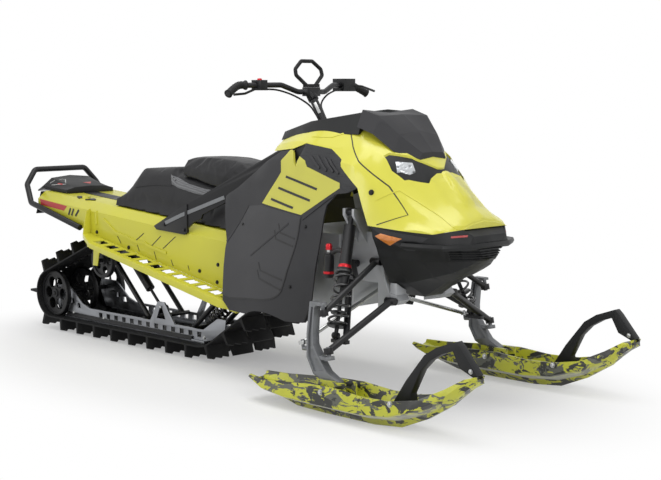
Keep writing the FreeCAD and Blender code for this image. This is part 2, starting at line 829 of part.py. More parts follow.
def cushion_section(along, top, top_half, low_half):
    """Gives the upper cushion's outline at one place."""
    low = seam_level(along)
    return both_sides([(0, top), (top_half, top - 5), (low_half, low + (top - low) * 0.45), (low_half - 8, low),
                       (0, low)])


cushion_places = [(seat_step_x + 16, -58, 76, 96), (seat_step_x + 36, -4, 80, 112), (seat_step_x + 200, 4, 92, 122),
                  (seat_bend_x, 2, 93, 123), (seat_front_x - 100, -14, 90, 120), (seat_front_x - 24, -36, 76, 108)]
loft(cushion, "Cushion_pad", "YZ_Plane",
     [(along, cushion_section(along, seat_high_z + rise, top_half, low_half))
      for along, rise, top_half, low_half in cushion_places])
piece(cushion, "seat_cushion")

# Engine block and bulkhead
bulkhead_rear_x = size("bulkhead_rear_x")
bulkhead_width = size("bulkhead_width")
engine = box("Engine", (tunnel_front_x + gap, -190, 330), (bulkhead_rear_x - gap, 190, 630))
piece(engine, "engine_block")
lean = math.radians(float(sheet.get("post_lean")))
post_down = Vector(math.sin(lean), 0, -math.cos(lean))
bar_x = size("bar_x")
bar_z = size("bar_z")
bar_centre = point(bar_x, 0, bar_z)
post_radius = size("post_radius")
caster = math.radians(float(sheet.get("caster")))
steer_up = Vector(-math.sin(caster), 0, math.cos(caster))
steer_back = Vector(-math.cos(caster), 0, -math.sin(caster))
crank_pin = point(size("crank_pin_x"), 0, size("crank_pin_z"))
crank_axis = crank_pin - steer_back * float(sheet.get("steer_arm"))
shock_foot = Vector(823, -400, 276)
shock_head = Vector(732, -220, 724)
shock_eye_radius = 12
shock_neck_radius = 9
shock_head_half = Vector(18, 0, 0)
shock_bolt_radius = 6
post_foot_z = 675.6
post_length = (number_of(bar_z) - post_foot_z) / math.cos(lean)
horn_level = 730
horn_x = number_of(bar_x) + (number_of(bar_z) - horn_level) * math.tan(lean)
bulkhead = new_body("Bulkhead")
pad(bulkhead, "Bulkhead_casting", "XZ_Plane",
    [(bulkhead_rear_x, 352), (bulkhead_rear_x + 50, 352), (bulkhead_rear_x + 50, 452), (820, 452), (820, 356),
     (905, 372), (932, 392), (914, 412), (877, 418), (858, 470), (838, 560), (790, 646), (bulkhead_rear_x, 646)],
    bulkhead_width)
pocket(bulkhead, "Bulkhead_core", "XZ_Plane",
       [(bulkhead_rear_x + 22, 480), (840, 480), (780, 560), (756, 620), (bulkhead_rear_x + 22, 620)],
       bulkhead_width - 60)
pocket(bulkhead, "Bulkhead_crank_bay", "XZ_Plane",
       [(819, 350), (960, 350), (960, 452), (819, 452)], bulkhead_width - 120)
pad(bulkhead, "Bulkhead_horn", "XZ_Plane",
    [(bulkhead_rear_x - 50, 645), (760, 645), (horn_x + 117, 720), (horn_x + 27, 790), (horn_x - 27, 770)], 64)
bulkhead_half = bulkhead_width / 2
tower_wall = 12
for name, side in (("right", -1), ("left", 1)):
    for end, direction in (("rear", -1), ("front", 1)):
        pad(bulkhead, f"Bulkhead_tower_{name}_{end}", "YZ_Plane",
            [(side * (bulkhead_half - 15), 600), (side * bulkhead_half, 600), (side * 240, 712), (side * 240, 738),
             (side * 204, 738), (side * (bulkhead_half - 15), 668)], tower_wall,
            offset=shock_head.x + direction * (shock_head_half.x + number_of(gap) + tower_wall / 2))
    pad(bulkhead, f"Bulkhead_cowl_ear_{name}", "YZ_Plane",
        [(side * 106, 405), (side * 160, 405), (side * 160, 457), (side * 106, 426.5)], 34, offset=896)
tower_reach = shock_head_half + Vector(tower_wall, 0, 0)
tower_bolts = [rod(f"Tower_bolt_{side}", Vector(shock_head.x, side * abs(shock_head.y), shock_head.z) - tower_reach,
                   Vector(shock_head.x, side * abs(shock_head.y), shock_head.z) + tower_reach, shock_bolt_radius)
               for side in (-1, 1)]
crank_stub = rod("Crank_stub", crank_axis - steer_up * 16, crank_axis + steer_up * 40, 9)
bulkhead_joined = fused("Bulkhead_joined", bulkhead, crank_stub, *tower_bolts)
foot_bore = rod("Post_foot_bore", bar_centre + post_down * (post_length - 132),
                bar_centre + post_down * (post_length + 48), post_radius + gap)
piece(minus("Bulkhead_bored", bulkhead_joined, foot_bore), "bulkhead")


# Front body: one skin, divided along its seams into hood, vents and side panels
hood_wall = size("hood_wall")
SKIN = [(-30, [(0, 940), (84, 930), (124, 896), (150, 850), (172, 790), (198, 742), (268, 560), (318, 330)]),
        (90, [(0, 972), (90, 962), (136, 928), (172, 872), (200, 806), (232, 720), (296, 520), (334, 296)]),
        (240, [(0, 1010), (100, 998), (150, 962), (205, 900), (228, 830), (268, 700), (314, 480), (340, 284)]),
        (480, [(0, 1062), (118, 1050), (190, 982), (232, 905), (250, 830), (296, 690), (328, 480), (338, 280)]),
        (620, [(0, 1066), (130, 1052), (204, 968), (240, 905), (262, 830), (298, 700), (318, 500), (316, 282)]),
        (760, [(0, 1040), (136, 1030), (200, 975), (250, 905), (268, 815), (290, 720), (290, 600), (290, 500)]),
        (868, [(0, 996), (120, 984), (190, 938), (240, 850), (262, 770), (276, 682), (276, 640), (276, 600)]),
        (1000, [(0, 893), (90, 880), (152, 828), (200, 770), (228, 715), (250, 672), (250, 640), (250, 600)]),
        (1133, [(0, 770), (80, 757), (140, 718), (175, 698), (195, 682), (210, 664), (210, 640), (210, 600)]),
        (1204, [(0, 712), (70, 702), (100, 694), (112, 690), (122, 685), (129, 680), (129, 640), (129, 600)])]
INWARD = [(0, 1), (0.5, 1), (0.8, 0.8), (1, 0.5), (1, 0.3), (1, 0), (1, 0), (1, 0)]


def inset(rows, depth):
    """Moves the skin's half outline inwards."""
    return [(y - depth * across if y else 0, z - depth * up) for (y, z), (across, up) in zip(rows, INWARD)]


def skin_section(rows):
    """Gives the outline of the skin's wall across the machine at one place."""
    inner = inset(rows, hood_wall)
    right = [(-y, z) for y, z in reversed(rows[1:])]
    right_inner = [((0 - y), z) for y, z in inner[1:]]
    return right + rows + list(reversed(inner[1:])) + [inner[0]] + right_inner


def skin_filled(name, depth):
    """Makes a solid that fills the skin from a depth below its outer face."""
    body = new_body(name)
    stations = []
    for along, rows in SKIN:
        half = inset(rows, depth) if depth else rows
        stations.append((along, both_sides(half + [(0, rows[-1][1])])))
    loft(body, name + "_form", "YZ_Plane", stations, curved=True)
    return body


skin = new_body("Skin")
loft(skin, "Skin_shell", "YZ_Plane", [(along, skin_section(rows)) for along, rows in SKIN], curved=True)
skin_solid = skin_filled("Skin_solid", 0)
skin_core = skin_filled("Skin_core", hood_wall)


def part_of(name, source, corners, reach=800):
    """Gives the part of a piece that lies inside an outline seen from the side."""
    region = new_body(name + "_region")
    pad(region, name + "_prism", "XZ_Plane", corners, reach)
    common = doc.addObject("Part::Common", name)
    common.Base = source
    common.Tool = region
    return common


seam = number_of(gap)
hood_line = [(448, 980), (608, 963), (692, 926), (702, 898), (802, 822)]
vent_line = [(760, 802), (702, 829), (502, 866), (433, 886)]
hood_skin = part_of("Hood_skin", skin,
                    [(238, 1300), (238, 942), (378, 957)] + hood_line
                    + [(868, 684), (1000, 673), (1133, 665), (1203, 681), (1203, 1300)])
nose_cap = new_body("Nose_cap")
loft(nose_cap, "Nose_cap_plate", "YZ_Plane",
     [(1202, both_sides([(0, 711), (70, 701), (100, 693), (128, 681), (0, 681)])),
      (1208, both_sides([(0, 706), (68, 697), (98, 690), (122, 682), (0, 682)]))])
post_slot = box("Post_slot", (262, -46, 860), (452, 46, 1250))
ridge_height = size("ridge_height")
ridge = new_body("Hood_ridge")
loft(ridge, "Hood_ridge_form", "YZ_Plane",
     [(along, both_sides([(0, top + rise), (half, top + rise - 3), (half + 14, top - 14), (0, top - 14)]))
      for along, top, rise, half in ((1004, 889, 2, 14), (1030, 867, ridge_height, 17),
                                     (1080, 821, ridge_height + 2, 20), (1130, 773, ridge_height + 3, 26),
                                     (1148, 757, 1, 22))])
ridge_seated = minus("Hood_ridge_seated", ridge, skin_core)

# Headlights: one dark housing under the hood, joined across the middle, and two clear lenses in its openings
LAMP_SIDE = [(992, 20), (944, 90), (871, 161), (864, 185), (912, 190), (960, 172), (1023, 104), (1010, 44)]
LENS_SIDE = [(946, 112), (905, 163), (925, 176), (960, 142), (968, 120)]
lamp_outline = [(996, 0)] + [(x, -y) for x, y in LAMP_SIDE] + [(1016, 0)] + list(reversed(LAMP_SIDE))
lamp_level = 900
lamp_reach = 400


def lamp_prism(name, corners):
    """Makes an upright prism through the hood over an outline seen from above."""
    body = new_body(name)
    pad(body, name + "_form", "XY_Plane", corners, lamp_reach, offset=lamp_level)
    return body


lamp_opening = lamp_prism("Lamp_opening", lamp_outline)
lamp_shelf = lamp_prism("Lamp_shelf", grown(lamp_outline, 6))
lamp_front = skin_filled("Lamp_front", hood_wall + gap)
lamp_back = skin_filled("Lamp_back", hood_wall + gap + size("lamp_thickness"))
lamp_block = doc.addObject("Part::Common", "Lamp_block")
lamp_block.Base = lamp_front
lamp_block.Tool = lamp_shelf
piece(minus("Lamp_housing", lamp_block, lamp_back), "headlight_housing")
lens_front = skin_filled("Lens_front", size("lens_depth"))
lens_right = lamp_prism("Lens_right", [(x, -y) for x, y in LENS_SIDE])
lens_left = lamp_prism("Lens_left", list(reversed(LENS_SIDE)))
lens_block = doc.addObject("Part::Common", "Lens_block")
lens_block.Base = lens_front
lens_block.Tool = fused("Lens_outlines", lens_right, lens_left)
piece(minus("Lenses", lens_block, skin_core), "headlights")
hood_whole = fused("Hood_whole", hood_skin, nose_cap, ridge_seated)
hood_cuts = fused("Hood_cuts", post_slot, lamp_opening)
piece(minus("Hood_open", hood_whole, hood_cuts), "hood")
vents = part_of("Vents", skin, [(x - seam, z - seam) for x, z in hood_line] + vent_line)
piece(vents, "side_vents")
panels = part_of("Panels", skin,
                 [(-18, 744), (225, 900), (300, 944), (380, 953)] + [(x, z - seam) for x, z in reversed(vent_line)]
                 + [(704, 794), (660, 750), (648, 646), (628, 509), (608, 372), (569, 284), (461, 280), (133, 286),
                    (92, 323), (76, 459), (70, 560), (26, 650)])
rightward = box("Right_half", (-200, -600, 0), (1500, 0, 1400))
leftward = box("Left_half", (-200, 0, 0), (1500, 600, 1400))
for name, half in (("right", rightward), ("left", leftward)):
    side_panel = doc.addObject("Part::Common", f"Panel_{name}")
    side_panel.Base = panels
    side_panel.Tool = half
    piece(side_panel, f"side_panel_{name}")

# Console and deflector, lying on the skin
console = new_body("Console")
loft(console, "Console_cover", "YZ_Plane",
     [(226, both_sides([(0, 1026), (96, 1020), (116, 985), (0, 985)])),
      (400, both_sides([(0, 1076), (112, 1066), (136, 1020), (0, 1020)])),
      (716, both_sides([(0, 1116), (140, 1106), (168, 1020), (0, 1020)]))])
console_trimmed = minus("Console_trimmed", console, skin_solid)
piece(minus("Console_open", console_trimmed, post_slot), "console_cover")
deflector = new_body("Deflector")
loft(deflector, "Deflector_sheet", "YZ_Plane",
     [(718, both_sides([(0, 1104), (146, 1116), (178, 1050), (0, 1000)])),
      (800, both_sides([(0, 1098), (140, 1092), (176, 1024), (0, 1000)])),
      (880, both_sides([(0, 1034), (110, 1020), (150, 960), (0, 900)])),
      (952, both_sides([(0, 956), (60, 952), (76, 930), (0, 880)]))])
piece(minus("Deflector_trimmed", deflector, skin_solid), "deflector")

# Nose cowl, closed in front by its brow and face
COWL = [(880, [(271, 684), (262, 640), (240, 598), (228, 566), (168, 462), (60, 402)]),
        (960, [(258, 678), (254, 634), (226, 594), (212, 558), (150, 462), (50, 400)]),
        (1060, [(231, 672), (230, 630), (194, 598), (176, 554), (120, 490), (40, 466)]),
        (1133, [(210, 668), (212, 626), (152, 602), (134, 556), (96, 512), (32, 496)]),
        (1180, [(156, 678), (172, 624), (112, 604), (98, 560), (74, 534), (26, 530)]),
        (1203, [(129, 682), (146, 622), (88, 604), (76, 566), (58, 550), (22, 548)]),
        (1232, [(96, 656), (112, 620), (56, 602), (50, 588), (38, 578), (16, 576)])]
nose_x = COWL[-1][0]


def cowl_section(rows):
    """Gives the outline of the cowl's wall across the machine at one place."""
    inner = [(rows[0][0] - hood_wall, rows[0][1])]
    inner += [(y - hood_wall, z + hood_wall * 0.4) for y, z in rows[1:]]
    floor = rows[-1][1]
    outer_line = rows + [(0, floor)] + [(-y, z) for y, z in reversed(rows)]
    inner_line = [(0 - y, z) for y, z in inner] + [(0, floor + hood_wall)] + list(reversed(inner))
    return outer_line + inner_line


def cowl_filled(name, proud):
    """Makes a solid that fills the cowl and stands proud of its sides and front."""
    body = new_body(name)
    stations = []
    for along, rows in COWL:
        half = [(0, rows[0][1])] + [(y + proud, z) for y, z in rows] + [(0, rows[-1][1] - proud)]
        stations.append((along + proud if along == nose_x else along, both_sides(half)))
    loft(body, name + "_form", "YZ_Plane", stations)
    return body


cowl = new_body("Cowl")
loft(cowl, "Cowl_shell", "YZ_Plane", [(along, cowl_section(rows)) for along, rows in COWL])
front_rows = COWL[-1][1]
pad(cowl, "Cowl_face", "YZ_Plane", both_sides([(0, front_rows[0][1])] + front_rows + [(0, front_rows[-1][1])]),
    hood_wall, offset=nose_x - hood_wall / 2)
loft(cowl, "Cowl_brow", "YZ_Plane",
     [(1200, both_sides([(0, 682), (128, 681), (124, 662), (0, 662)])),
      (nose_x, both_sides([(0, 656), (96, 656), (96, 640), (0, 640)]))])
under_hood = [(1133, 665 - seam), (1000, 673 - seam), (868, 684 - seam), (860, 684 - seam)]
piece(part_of("Cowl_trimmed", cowl,
              [(860, 380), (1260, 380), (1260, 700), (1208 + seam, 700), (1208 + seam, 681 - seam),
               (1203, 681 - seam)] + under_hood), "nose_cowl")
cowl_solid = cowl_filled("Cowl_solid", seam)


def on_cowl(name, form, proud):
    """Keeps the part of a form that stands on the cowl's outer face, to a given height."""
    common = doc.addObject("Part::Common", name + "_layer")
    common.Base = cowl_filled(name + "_reach", proud)
    common.Tool = form
    return minus(name, common, cowl_solid)


# Bumper lip round the nose, pointed at both sides
lip_low = size("lip_low_z")
lip_high = lip_low + size("lip_height")
LIP = [(1240, 0), (1240, 112), (1184, 214), (1110, 234), (1010, 252), (1010, 150), (1150, 90), (1150, 0)]
lip_outline = LIP + [(x, -y) for x, y in reversed(LIP[1:-1])]
lip = new_body("Bumper_lip")
loft(lip, "Bumper_lip_form", "XY_Plane",
     [(lip_low, grown(lip_outline, -5)), (lip_low + 10, lip_outline), (lip_high, grown(lip_outline, -4))])
piece(minus("Bumper_lip_seated", lip, cowl_solid), "bumper_lip")

# Grille: louvres round the nose below the lip, in a frame
grille_rear_x = 1144
grille_low = 558
louvres = 4
louvre_pitch = size("louvre_pitch")
bars = [box(f"Louvre_{i}", (grille_rear_x, -200, lip_low - 6 - louvre_pitch * (i + 1)),
            (1260, 200, lip_low - 3 - louvre_pitch * (i + 1))) for i in range(louvres)]
bars.append(box("Grille_top", (grille_rear_x, -200, lip_low - 5), (1260, 200, lip_low - 1)))
bars.append(box("Grille_side", (grille_rear_x, -200, grille_low), (grille_rear_x + 6, 200, lip_low - 1)))
bars.append(box("Grille_foot", (grille_rear_x, -200, grille_low), (1260, 200, grille_low + 4)))
piece(on_cowl("Nose_grille", fused("Grille_bars", *bars), size("louvre_depth")), "nose_grille")

# Kite-shaped side reflectors on the cowl
reflector_prism = new_body("Reflector_prism")
pad(reflector_prism, "Reflector_form", "XZ_Plane", [(894, 646), (951, 612), (1013, 643), (922, 658)], 800)
piece(on_cowl("Reflectors", reflector_prism, size("reflector_depth")), "side_reflectors")

# Braces from the tunnel's side up to the steering head
brace_thickness = 12
brace_y = tunnel_half + gap + brace_thickness / 2
brace_bend_x = -300
head_bar_x = 345
head_bar_z = number_of(bar_z) - 208
head_bar_radius = 12
brace_top_y = 100
brace_run = math.hypot(head_bar_x - brace_bend_x, number_of(brace_y) - brace_top_y)
brace_yaw = math.degrees(math.asin((number_of(brace_y) - brace_top_y) / brace_run))
brace_foot = new_body("Brace_foot")
pad(brace_foot, "Brace_foot_plate", "XZ_Plane",
    [(-496, 585), (-478, 570), (-278, 561), (-262, 572), (-262, 696), (-300, 680)], brace_thickness, offset=brace_y)
brace_arm = new_body("Brace_arm")
pad(brace_arm, "Brace_arm_plate", "XZ_Plane",
    [(0, 580), (40, 594), (68, 618), (110, 634), (118, 654), (234, 706), (brace_run - 16, head_bar_z - 37),
     (brace_run + 14, head_bar_z - 25), (brace_run + 24, head_bar_z), (brace_run + 14, head_bar_z + 23),
     (brace_run - 12, head_bar_z + 25), (0, 680)], brace_thickness)
brace_arm.Placement = FreeCAD.Placement(point(brace_bend_x, -brace_y, 0),
                                        FreeCAD.Rotation(Vector(0, 0, 1), brace_yaw))
brace_whole = fused("Brace_whole", brace_foot, brace_arm)
brace_bore = crossbar("Brace_bore", head_bar_x, head_bar_z, 180, head_bar_radius + gap)
brace = minus("Brace", brace_whole, brace_bore)
piece(brace, "tunnel_brace_right")
piece(mirrored(brace, "Brace_left"), "tunnel_brace_left")
head_bar = crossbar("Head_bar", head_bar_x, head_bar_z, brace_top_y + brace_thickness, head_bar_radius)
head_block = box("Head_block", (head_bar_x - 10, -32, head_bar_z - 13), (head_bar_x + 95, 32, head_bar_z + 31))
head_bore = rod("Head_bore", bar_centre, bar_centre + post_down * 400, post_radius + gap)
head_joined = fused("Head_joined", head_bar, head_block)
piece(minus("Head_bored", head_joined, head_bore), "steering_head")

# Steering: post, handlebar and grab loop turn together about the leaning post
bar_radius = float(sheet.get("bar_radius"))
bar_half = float(sheet.get("bar_half_width"))
bar_right = [bar_centre + Vector(back, -across, rise)
             for back, across, rise in ((-55, bar_half, -7), (-72, 330, 27), (-15, 150, 29), (8, 78, 1))]
bar_route = bar_right + [Vector(v.x, -v.y, v.z) for v in reversed(bar_right)]
bar_tube = bent_tube("Bar_tube", bar_route, 40, bar_radius)
clamp_low = bar_centre + Vector(-11, -34, -17)
clamp_high = bar_centre + Vector(27, 34, 19)
clamp = box("Bar_clamp", clamp_low, clamp_high)
socket_depth = 40
bar_socket = rod("Bar_socket", bar_centre, bar_centre + post_down * socket_depth, post_radius + 5)
piece(fused("Handlebar", bar_tube, clamp, bar_socket), "handlebar")
post_top = bar_centre + post_down * (socket_depth + number_of(gap))
piece(rod("Post", post_top, bar_centre + post_down * post_length, post_radius), "steering_post")
loop_lean = unit(-post_down + Vector(0.35, 0, 0))
loop_foot_z = clamp_high.z + number_of(gap)


def loop_point(across, rise):
    """Places a point of the grab loop, which leans back above the handlebar's clamp."""
    return Vector(bar_centre.x + 8, across, loop_foot_z) + loop_lean * rise


grab_route = [loop_point(-26, 8.5), loop_point(-76, 52), loop_point(-74, 78), loop_point(-32, 112),
              loop_point(32, 112), loop_point(74, 78), loop_point(76, 52), loop_point(26, 8.5)]
grab_tube = bent_tube("Grab_tube", grab_route, 12, 8)
grab_foot = box("Grab_foot", Vector(clamp_low.x + 4, clamp_low.y, loop_foot_z),
                Vector(clamp_high.x - 4, clamp_high.y, loop_foot_z + 14))
piece(fused("Grab_loop", grab_tube, grab_foot), "grab_loop")
bar_core = bent_tube("Bar_core", bar_route, 40, bar_radius + number_of(gap))
switch_right = box("Switch_right", bar_centre + Vector(-72, -262, 7), bar_centre + Vector(-15, -226, 49))
switch_left = box("Switch_left", bar_centre + Vector(-77, 212, 3), bar_centre + Vector(-9, 282, 57))
lever_radius = 5
levers = []
for name, places in (("throttle", ((-58, -250, 14), (-74, -296, -6), (-86, -346, -10))),
                     ("brake", ((-22, 258, 30), (8, 306, 24), (0, 392, 4)))):
    route = [bar_centre + Vector(*place) for place in places]
    levers.append(bent_tube(f"Lever_{name}", route, 24, lever_radius))
switches = fused("Switches", switch_right, switch_left, *levers)
piece(minus("Hand_controls", switches, bar_core), "hand_controls")

# Spindles
stance_half = size("ski_stance") / 2
eye_radius = size("eye_radius")
eye_depth = float(sheet.get("eye_depth"))
joint_pin = size("joint_pin_radius")
lower_joint = point(size("lower_joint_x"), -stance_half, size("lower_joint_z"))
upper_joint = lower_joint + steer_up * number_of(size("upper_joint_rise"))
pivot_x = size("ski_pivot_x")
pivot_z = size("ski_pivot_z")
spindle = new_body("Spindle")
spindle_width = size("spindle_width")
pad(spindle, "Spindle_blade", "XZ_Plane",
    [(780, 411), (834, 411), (834, 399), (812, 399), (804, 390), (800, 343), (796, 292), (798, 250), (832, 200),
     (868, 157), (925, 128), (932, 98), (914, 78), (890, 80), (868, 108), (798, 141), (763, 199), (763, 288)],
    spindle_width, offset=stance_half)
for face, side in (("outer", 1), ("inner", -1)):
    pocket(spindle, f"Spindle_recess_{face}", "XZ_Plane",
           [(788, 392), (798, 392), (792, 343), (788, 292), (790, 246), (824, 194), (852, 160), (802, 150),
            (772, 203), (772, 285)], 9, offset=stance_half + side * (spindle_width / 2 - 4.5))
tie_outer = lower_joint + steer_up * 40 + steer_back * float(sheet.get("steer_arm"))
tie_radius = size("tie_rod_radius")
tie_pin_radius = size("tie_pin_radius")
lug_rise = float(sheet.get("joint_lug_rise"))
spindle_parts = [
    spindle,
    rod("Low_lug", lower_joint - steer_up * 34, lower_joint - steer_up * 20, 20),
    box("Low_lug_arm", (800, -stance_half - 14, 198), (866, -stance_half + 14, 211)),
    rod("Low_pin", lower_joint - steer_up * 30, lower_joint + steer_up * 16, joint_pin),
    rod("High_lug", upper_joint + steer_up * lug_rise, upper_joint + steer_up * (lug_rise + 10), 18),
    rod("High_pin", upper_joint - steer_up * 16, upper_joint + steer_up * (lug_rise + 4), joint_pin),
    rod("Steer_arm", tie_outer - steer_up * 21, tie_outer - steer_up * 21 + Vector(60, 0, 6), 9),
    rod("Tie_pin", tie_outer - steer_up * 24, tie_outer + steer_up * 12, tie_pin_radius)]
foot_hole = disc("Spindle_bore", pivot_x, -stance_half, pivot_z, size("ski_bolt_radius") + gap, 60)
spindle_right = piece(minus("Spindle_right", fused("Spindle_joined", *spindle_parts), foot_hole), "spindle_right")
piece(mirrored(spindle_right, "Spindle_left"), "spindle_left")


# Suspension arms: an eye round the spindle's pin, and barrels on the bulkhead
def eye(name, centre, axis, outer, inner, depth):
    """Makes a ring round a pin."""
    ring = rod(name + "_ring", centre - axis * (depth / 2), centre + axis * (depth / 2), outer)
    bore = rod(name + "_bore", centre - axis * depth, centre + axis * depth, inner)
    return ring, bore


barrel_radius = 14
barrel_y = number_of(bulkhead_width) / 2 + barrel_radius + number_of(gap)


def arm(name, joint, front, rear, fork, radius, extras):
    """Makes a forked arm from its ball joint to two barrels on the bulkhead."""
    ring, bore = eye(name, joint, steer_up, eye_radius, joint_pin + gap, eye_depth)
    front_end = Vector(front[0], -barrel_y, front[1])
    rear_end = Vector(rear[0], -barrel_y, rear[1])
    split = joint + (front_end - joint) * fork
    ahead = Vector(24, 0, 0)
    parts = [ring, rod(name + "_front_tube", joint, front_end, radius),
             rod(name + "_rear_tube", split, rear_end, radius),
             rod(name + "_front_barrel", front_end - ahead, front_end + ahead, barrel_radius),
             rod(name + "_rear_barrel", rear_end - ahead, rear_end + ahead, barrel_radius)] + extras
    return minus(name, fused(name + "_joined", *parts), bore)


foot_bracket = box("Foot_bracket", (808, -412, 250), (884, -388, shock_foot.z - shock_eye_radius - number_of(gap)))
lower_arm = piece(arm("Lower_arm", lower_joint, (900, 390), (680, 440), 0.28, size("arm_tube_radius"),
                      [foot_bracket]), "lower_arm_right")
piece(mirrored(lower_arm, "Lower_arm_left"), "lower_arm_left")
upper_arm = piece(arm("Upper_arm", upper_joint, (824, 536), (700, 520), 0.62, size("upper_arm_radius"), []),
                  "upper_arm_right")
piece(mirrored(upper_arm, "Upper_arm_left"), "upper_arm_left")

# Front shocks
shock_axis = unit(shock_head - shock_foot)
shock_length = (shock_head - shock_foot).Length
body_top = shock_length - 56
coil_low = 84
shock_parts = [rod("Shock_shaft", shock_foot, shock_foot + shock_axis * 240, 8),
               rod("Shock_body", shock_foot + shock_axis * 190, shock_foot + shock_axis * body_top,
                   size("shock_radius")),
               rod("Shock_neck", shock_foot + shock_axis * body_top, shock_head - shock_axis * 8, shock_neck_radius),
               rod("Shock_seat", shock_foot + shock_axis * coil_low, shock_foot + shock_axis * (coil_low + 8),
                   size("coil_radius")),
               rod("Shock_collar", shock_foot + shock_axis * 250, shock_foot + shock_axis * 262, size("coil_radius")),
               rod("Shock_foot_eye", shock_foot + Vector(-12, 0, 0), shock_foot + Vector(12, 0, 0), shock_eye_radius),
               rod("Shock_head_eye", shock_head - shock_head_half, shock_head + shock_head_half, 16)]
shock_bore = rod("Shock_head_bore", shock_head - shock_head_half * 2, shock_head + shock_head_half * 2,
                 shock_bolt_radius + number_of(gap))
shock_right = piece(minus("Shock_right", fused("Shock_joined", *shock_parts), shock_bore), "front_shock_right")
piece(mirrored(shock_right, "Shock_left"), "front_shock_left")

# Tie rods and the crank that they meet on
right_eye_rise = float(sheet.get("right_eye_rise"))
left_eye_drop = float(sheet.get("left_eye_drop"))


def tie_rod(name, side):
    """Makes one tie rod from the spindle's steering arm to the crank's pin."""
    start = Vector(tie_outer.x, side * abs(tie_outer.y), tie_outer.z)
    end = crank_pin + steer_up * (right_eye_rise if side < 0 else -left_eye_drop)
    span = unit(end - start)
    outer_ring, outer_bore = eye(name + "_outer", start, steer_up, 15, tie_pin_radius + gap, 14)
    inner_ring, inner_bore = eye(name + "_inner", end, steer_up, 14, tie_pin_radius + gap, 12)
    bar = rod(name + "_bar", start + span * 11, end - span * 11, tie_radius)
    joined = fused(name + "_joined", outer_ring, inner_ring, bar)
    bores = fused(name + "_bores", outer_bore, inner_bore)
    return minus(name, joined, bores)


piece(tie_rod("Tie_rod_right", -1), "tie_rod_right")
piece(tie_rod("Tie_rod_left", 1), "tie_rod_left")
crank_parts = [rod("Crank_hub", crank_axis - steer_up * 10, crank_axis + steer_up * 10, 24),
               rod("Crank_pin", crank_pin - steer_up * (left_eye_drop + 9),
                   crank_pin + steer_up * (right_eye_rise + 9), tie_pin_radius)]
crank_bar = rod("Crank_bar", crank_pin, crank_axis, 6)
crank_eye = rod("Crank_eye", crank_pin - steer_up * 6, crank_pin + steer_up * 6, 13)
crank_bore = rod("Crank_bore", crank_axis - steer_up * 60, crank_axis + steer_up * 60, 9 + number_of(gap))
crank_joined = fused("Crank_joined", crank_parts[0], crank_parts[1], crank_bar, crank_eye)
piece(minus("Crank", crank_joined, crank_bore), "steering_crank")


# Skis
def build_ski():
    """Makes one ski: a channel with raised sides, a keel below, and the saddle for the spindle."""
    body = new_body("Ski")
    half = size("ski_half_width")
    table = [(-425, 0.62, 70, 78, 98), (-330, 0.88, 34, 52, 96), (-200, 0.98, 4, 40, 106), (-60, 1.0, 0, 38, 118),
             (60, 1.0, 0, 38, 122), (200, 1.0, 0, 38, 112), (330, 0.98, 12, 52, 116), (450, 0.9, 62, 92, 138),
             (560, 0.72, 128, 150, 190), (630, 0.5, 190, 206, 232), (669, 0.3, 222, 230, 244)]
    stations = []
    for along, share, keel, base, top in table:
        edge = half * share
        rows = [(8, keel), (24, base - 14), (edge * 0.74, base), (edge, base + 12), (edge - 8, top), (edge - 16, top),
                (edge * 0.6, base + 8), (edge * 0.3, base + 2)]
        right = [(-stance_half - y, z) for y, z in reversed(rows)]
        left = [(-stance_half + y, z) for y, z in rows]
        stations.append((pivot_x + along, left + right))
    loft(body, "Ski_channel", "YZ_Plane", stations)
    return body


ski_channel = build_ski()
ear_gap = spindle_width / 2 + size("moving_gap")
ears = []
for i, side in enumerate((-1, 1)):
    low_y = -ear_gap - 14 if side < 0 else ear_gap
    ears.append(box(f"Ski_ear_{i}", (pivot_x - 60, -stance_half + low_y, 36),
                    (pivot_x + 70, -stance_half + low_y + 14, 130)))
bolt = disc("Ski_bolt", pivot_x, -stance_half, pivot_z, size("ski_bolt_radius"), 2 * ear_gap + 44)
ski_right = piece(fused("Ski_right", ski_channel, *ears, bolt), "ski_right")
piece(mirrored(ski_right, "Ski_left"), "ski_left")
loop = new_body("Ski_loop")
pad(loop, "Ski_loop_bar", "XZ_Plane",
    [(1196, 92), (1259, 184), (1343, 286), (1398, 320), (1482, 350), (1500, 334), (1576, 246),
     (1560, 238), (1500, 262), (1469, 316), (1421, 300), (1368, 270), (1327, 229), (1282, 141), (1290, 92)],
    34, offset=stance_half)
loop_trimmed = minus("Ski_loop_seated", loop, ski_channel)
loop_right = piece(loop_trimmed, "ski_loop_right")
piece(mirrored(loop_right, "Ski_loop_left"), "ski_loop_left")

# Arms and shocks inside the track
arm_y = 100
inner_reach = rail_y - size("rail_thickness") / 2 - gap
tunnel_reach = tunnel_half - tunnel_wall - gap
rear_pivot = (-700, 128)
front_pivot = (-380, 118)
front_head = (-60, 385)


def skid_arm(name, upper, lower, upper_reach):
    """Makes one arm pair: a shaft in the tunnel, two tubes and a shaft between the rails."""
    parts = [crossbar(name + "_low", lower[0], lower[1], inner_reach, 10)]
    if upper_reach is not None:
        parts.append(crossbar(name + "_high", upper[0], upper[1], upper_reach, 12))
    for i, side in enumerate((-1, 1)):
        parts.append(rod(f"{name}_tube_{i}", Vector(upper[0], side * arm_y, upper[1]),
                         Vector(lower[0], side * arm_y, lower[1]), 12))
    return fused(name, *parts)


